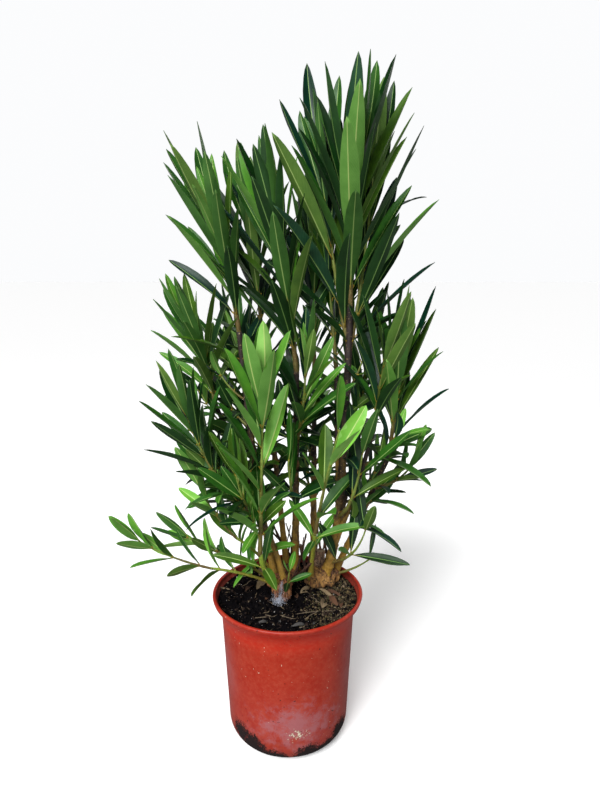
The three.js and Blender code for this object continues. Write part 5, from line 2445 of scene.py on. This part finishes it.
@dataclass
class Foliage:
    """Dresses the grown leaves, one piece for each part of the crown."""

    growth: Growth
    form: LeafForm = LeafForm()

    @staticmethod
    def finishes() -> tuple[Finish, ...]:
        """Top, underside and rib for each tone, in the order of Tone.

        Returns:
            The finishes.
        """
        tones = (
            (Tone.DEEP, (14, 54, 12), (6, 31, 8), (26, 70, 24), (12, 46, 18)),
            (Tone.TEAL, (6, 50, 32), (3, 30, 20), (15, 68, 44), (9, 46, 32)),
            (Tone.GREEN, (46, 98, 23), (24, 71, 15), (65, 114, 45), (42, 87, 29)),
            (Tone.OLIVE, (70, 108, 22), (44, 80, 16), (90, 126, 48), (64, 100, 36)),
            (Tone.FRESH, (88, 148, 40), (60, 122, 28), (106, 160, 70), (82, 138, 52)),
            (Tone.YOUNG, (124, 190, 66), (94, 162, 46), (146, 202, 100), (118, 178, 76)),
        )
        made: list[Finish] = []
        for tone, *colours in tones:
            name = tone.name.lower()
            top, top_shade, under, under_shade = (srgb(*colour) for colour in colours)
            pale = srgb(126 + 13 * tone, 166 + 9 * tone, 88 + 7 * tone)
            faint = tuple(lerp(np.array(under), np.array(pale), 0.3).tolist())
            made.append(LeafSkin(f"{name} leaf", 0.42, top, top_shade, under))
            made.append(LeafSkin(f"{name} leaf underside", 0.58, under, under_shade, faint, 0.0001))
            made.append(RibSkin(f"{name} midrib", 0.5, srgb(188, 156, 56), pale))
        return tuple(made)

    def build(self) -> None:
        """Builds each part of the crown."""
        finishes = self.finishes()
        for crown in Crown:
            leaves = Leaves.joined(self.growth.batches[crown])
            nodes = tuple(plan.name for plan in SHOOTS if plan.crown == crown)
            slot = "young_foliage" if crown in Growth.YOUNG_CROWNS else "foliage"
            log.info("%s: %d leaves", crown.name.lower(), len(leaves))
            name = f"{crown.name.lower()}_crown_leaves"
            Piece(name, nodes, slot, finishes).build(self.form.patch(leaves))


# Studio


@dataclass(frozen=True)
class Studio:
    """A pale floor, soft lights, and a camera where the photograph was taken from.

    Attributes:
        camera_place: where the camera stands.
        camera_down: how far it looks down, in degrees.
        lens: its focal length, in millimetres.
        sensor: its sensor's width, in millimetres.
        sun: which way the main light comes from, how wide it is in degrees, and how strong.
        lamps: name, place, size and power of each softer lamp.
        glow: strength of the sky as a light.
        backdrop: strength of the sky as it is seen.
    """

    camera_place: Vector3 = (0.018, -0.806, 0.686)
    camera_down: float = 12.41
    lens: float = 27.0
    sensor: float = 36.0
    sun: tuple[Vector3, float, float] = ((-0.5, -1.0, 0.95), 32.0, 4.2)
    lamps: tuple[tuple[str, Vector3, float, float], ...] = (
        ("front", (0.4, -1.9, 0.7), 1.2, 9.0),
        ("back", (0.9, 1.2, 1.6), 1.2, 14.0),
        ("left", (-1.7, 0.2, 0.6), 1.4, 6.0),
        ("right", (1.8, 0.3, 0.6), 1.4, 5.0),
    )
    glow: float = 0.085
    backdrop: float = 0.985

    def build(self) -> None:
        """Sets up camera, floor, lights and sky."""
        scene = bpy.context.scene
        lens = bpy.data.cameras.new("camera")
        lens.lens = self.lens
        lens.sensor_width = self.sensor
        camera = bpy.data.objects.new("camera", lens)
        camera.location = self.camera_place
        camera.rotation_euler = (np.radians(90 - self.camera_down), 0.0, 0.0)
        scene.collection.objects.link(camera)
        scene.camera = camera
        self.floor(scene)
        way, width, strength = self.sun
        sun = bpy.data.lights.new("sun", "SUN")
        sun.angle = float(np.radians(width))
        sun.energy = strength
        self.hang(scene, sun, way, np.array(way))
        for name, place, size, power in self.lamps:
            lamp = bpy.data.lights.new(name, "AREA")
            lamp.size = size
            lamp.energy = power
            self.hang(scene, lamp, place, np.array(place) - [0.0, 0.0, 0.4])
        self.sky(scene)
        scene.view_settings.view_transform = "Standard"

    @staticmethod
    def hang(scene: bpy.types.Scene, light: bpy.types.Light, place: Vector3, away: Array) -> None:
        """Hangs a light at a place, shining against the direction away from what it lights.

        Args:
            scene: the scene.
            light: the light.
            place: where it hangs.
            away: direction to it from what it lights.
        """
        holder = bpy.data.objects.new(light.name, light)
        holder.location = place
        back = unit(away)
        turn = float(np.arctan2(back[1], back[0]) + np.pi / 2)
        holder.rotation_euler = (float(np.arccos(back[2])), 0.0, turn)
        scene.collection.objects.link(holder)

    def sky(self, scene: bpy.types.Scene) -> None:
        """Makes a pale sky that is seen brighter than it lights.

        Args:
            scene: the scene.
        """
        world = bpy.data.worlds.new("sky")
        scene.world = world
        world.use_nodes = True
        bench = Bench(world.node_tree)
        seen = bench.wire("ShaderNodeLightPath", output="Is Camera Ray")
        sky = world.node_tree.nodes["Background"]
        bench.feed(sky.inputs["Color"], (0.985, 0.99, 1.0))
        bench.feed(sky.inputs["Strength"], seen * (self.backdrop - self.glow) + self.glow)

    @staticmethod
    def floor(scene: bpy.types.Scene) -> None:
        """Lays a wide pale floor that throws back less light than it shows.

        Args:
            scene: the scene.
        """
        half, drop = 30.0, 0.0005
        corners = [(-half, -half), (half, -half), (half, half), (-half, half)]
        mesh = bpy.data.meshes.new("floor")
        mesh.from_pydata([(x, y, -drop) for x, y in corners], [], [(0, 1, 2, 3)])
        paint = bpy.data.materials.new("pale floor")
        paint.use_nodes = True
        bench = Bench(paint.node_tree)
        seen = bench.wire("ShaderNodeLightPath", output="Is Camera Ray")
        inputs = {
            "Base Color": bench.blend(seen, (0.2, 0.2, 0.2), (1.0, 1.0, 1.0)),
            "Roughness": 0.8,
            "Emission Color": (1.0, 1.0, 1.0),
            "Emission Strength": seen * 0.09,
        }
        for name, source in inputs.items():
            bench.feed(paint.node_tree.nodes["Principled BSDF"].inputs[name], source)
        mesh.materials.append(paint)
        floor = bpy.data.objects.new("floor", mesh)
        scene.collection.objects.link(floor)
        floor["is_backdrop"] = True


def main() -> None:
    """Builds studio, pot, soil, wood and foliage around the frame, and notes the sizes."""
    logging.basicConfig(level=logging.INFO, format="%(name)s: %(message)s")
    Studio().build()
    low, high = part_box("pot")
    pot = NurseryPot(height=high.z, rim=high.x)
    pot.build()
    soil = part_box("soil")[1].z
    PottingMix(level=soil, pot=pot).build()
    ruddy = OldWood("ruddy bark", 0.8, srgb(110, 60, 32), srgb(156, 102, 58), srgb(20, 12, 9), level=soil)
    tan = OldWood("tan bark", 0.8, srgb(104, 66, 38), srgb(166, 124, 66), srgb(24, 15, 10), level=soil)
    left = (
        ((-0.009, -0.013, 0.002), (0.011, 0.01, 0.019)),
        ((-0.01, 0.0, 0.016), (0.018, 0.016, 0.015)),
        ((-0.012, 0.026, 0.009), (0.017, 0.02, 0.016)),
        ((0.002, 0.049, 0.007), (0.021, 0.017, 0.015)),
    )
    right = (
        ((0.048, 0.028, 0.008), (0.022, 0.017, 0.02)),
        ((0.064, 0.042, 0.011), (0.017, 0.016, 0.015)),
        ((0.05, 0.06, 0.008), (0.021, 0.016, 0.015)),
    )
    Stool("left_stool", left, (-0.008, 0.018, 0.01), ruddy).build(soil)
    Stool("right_stool", right, (0.053, 0.042, 0.009), tan).build(soil)
    growth = Growth(soil)
    growth.grow()
    wood = Wood(growth)
    wood.stems()
    wood.stubs()
    wood.dead_twigs()
    Foliage(growth).build()
    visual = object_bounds()
    sizes = {"cad": [list(c) for c in cad_box], "visual": [list(c) for c in visual]}
    log.info("sizes: %s", sizes)


if __name__ == "__main__":
    main()
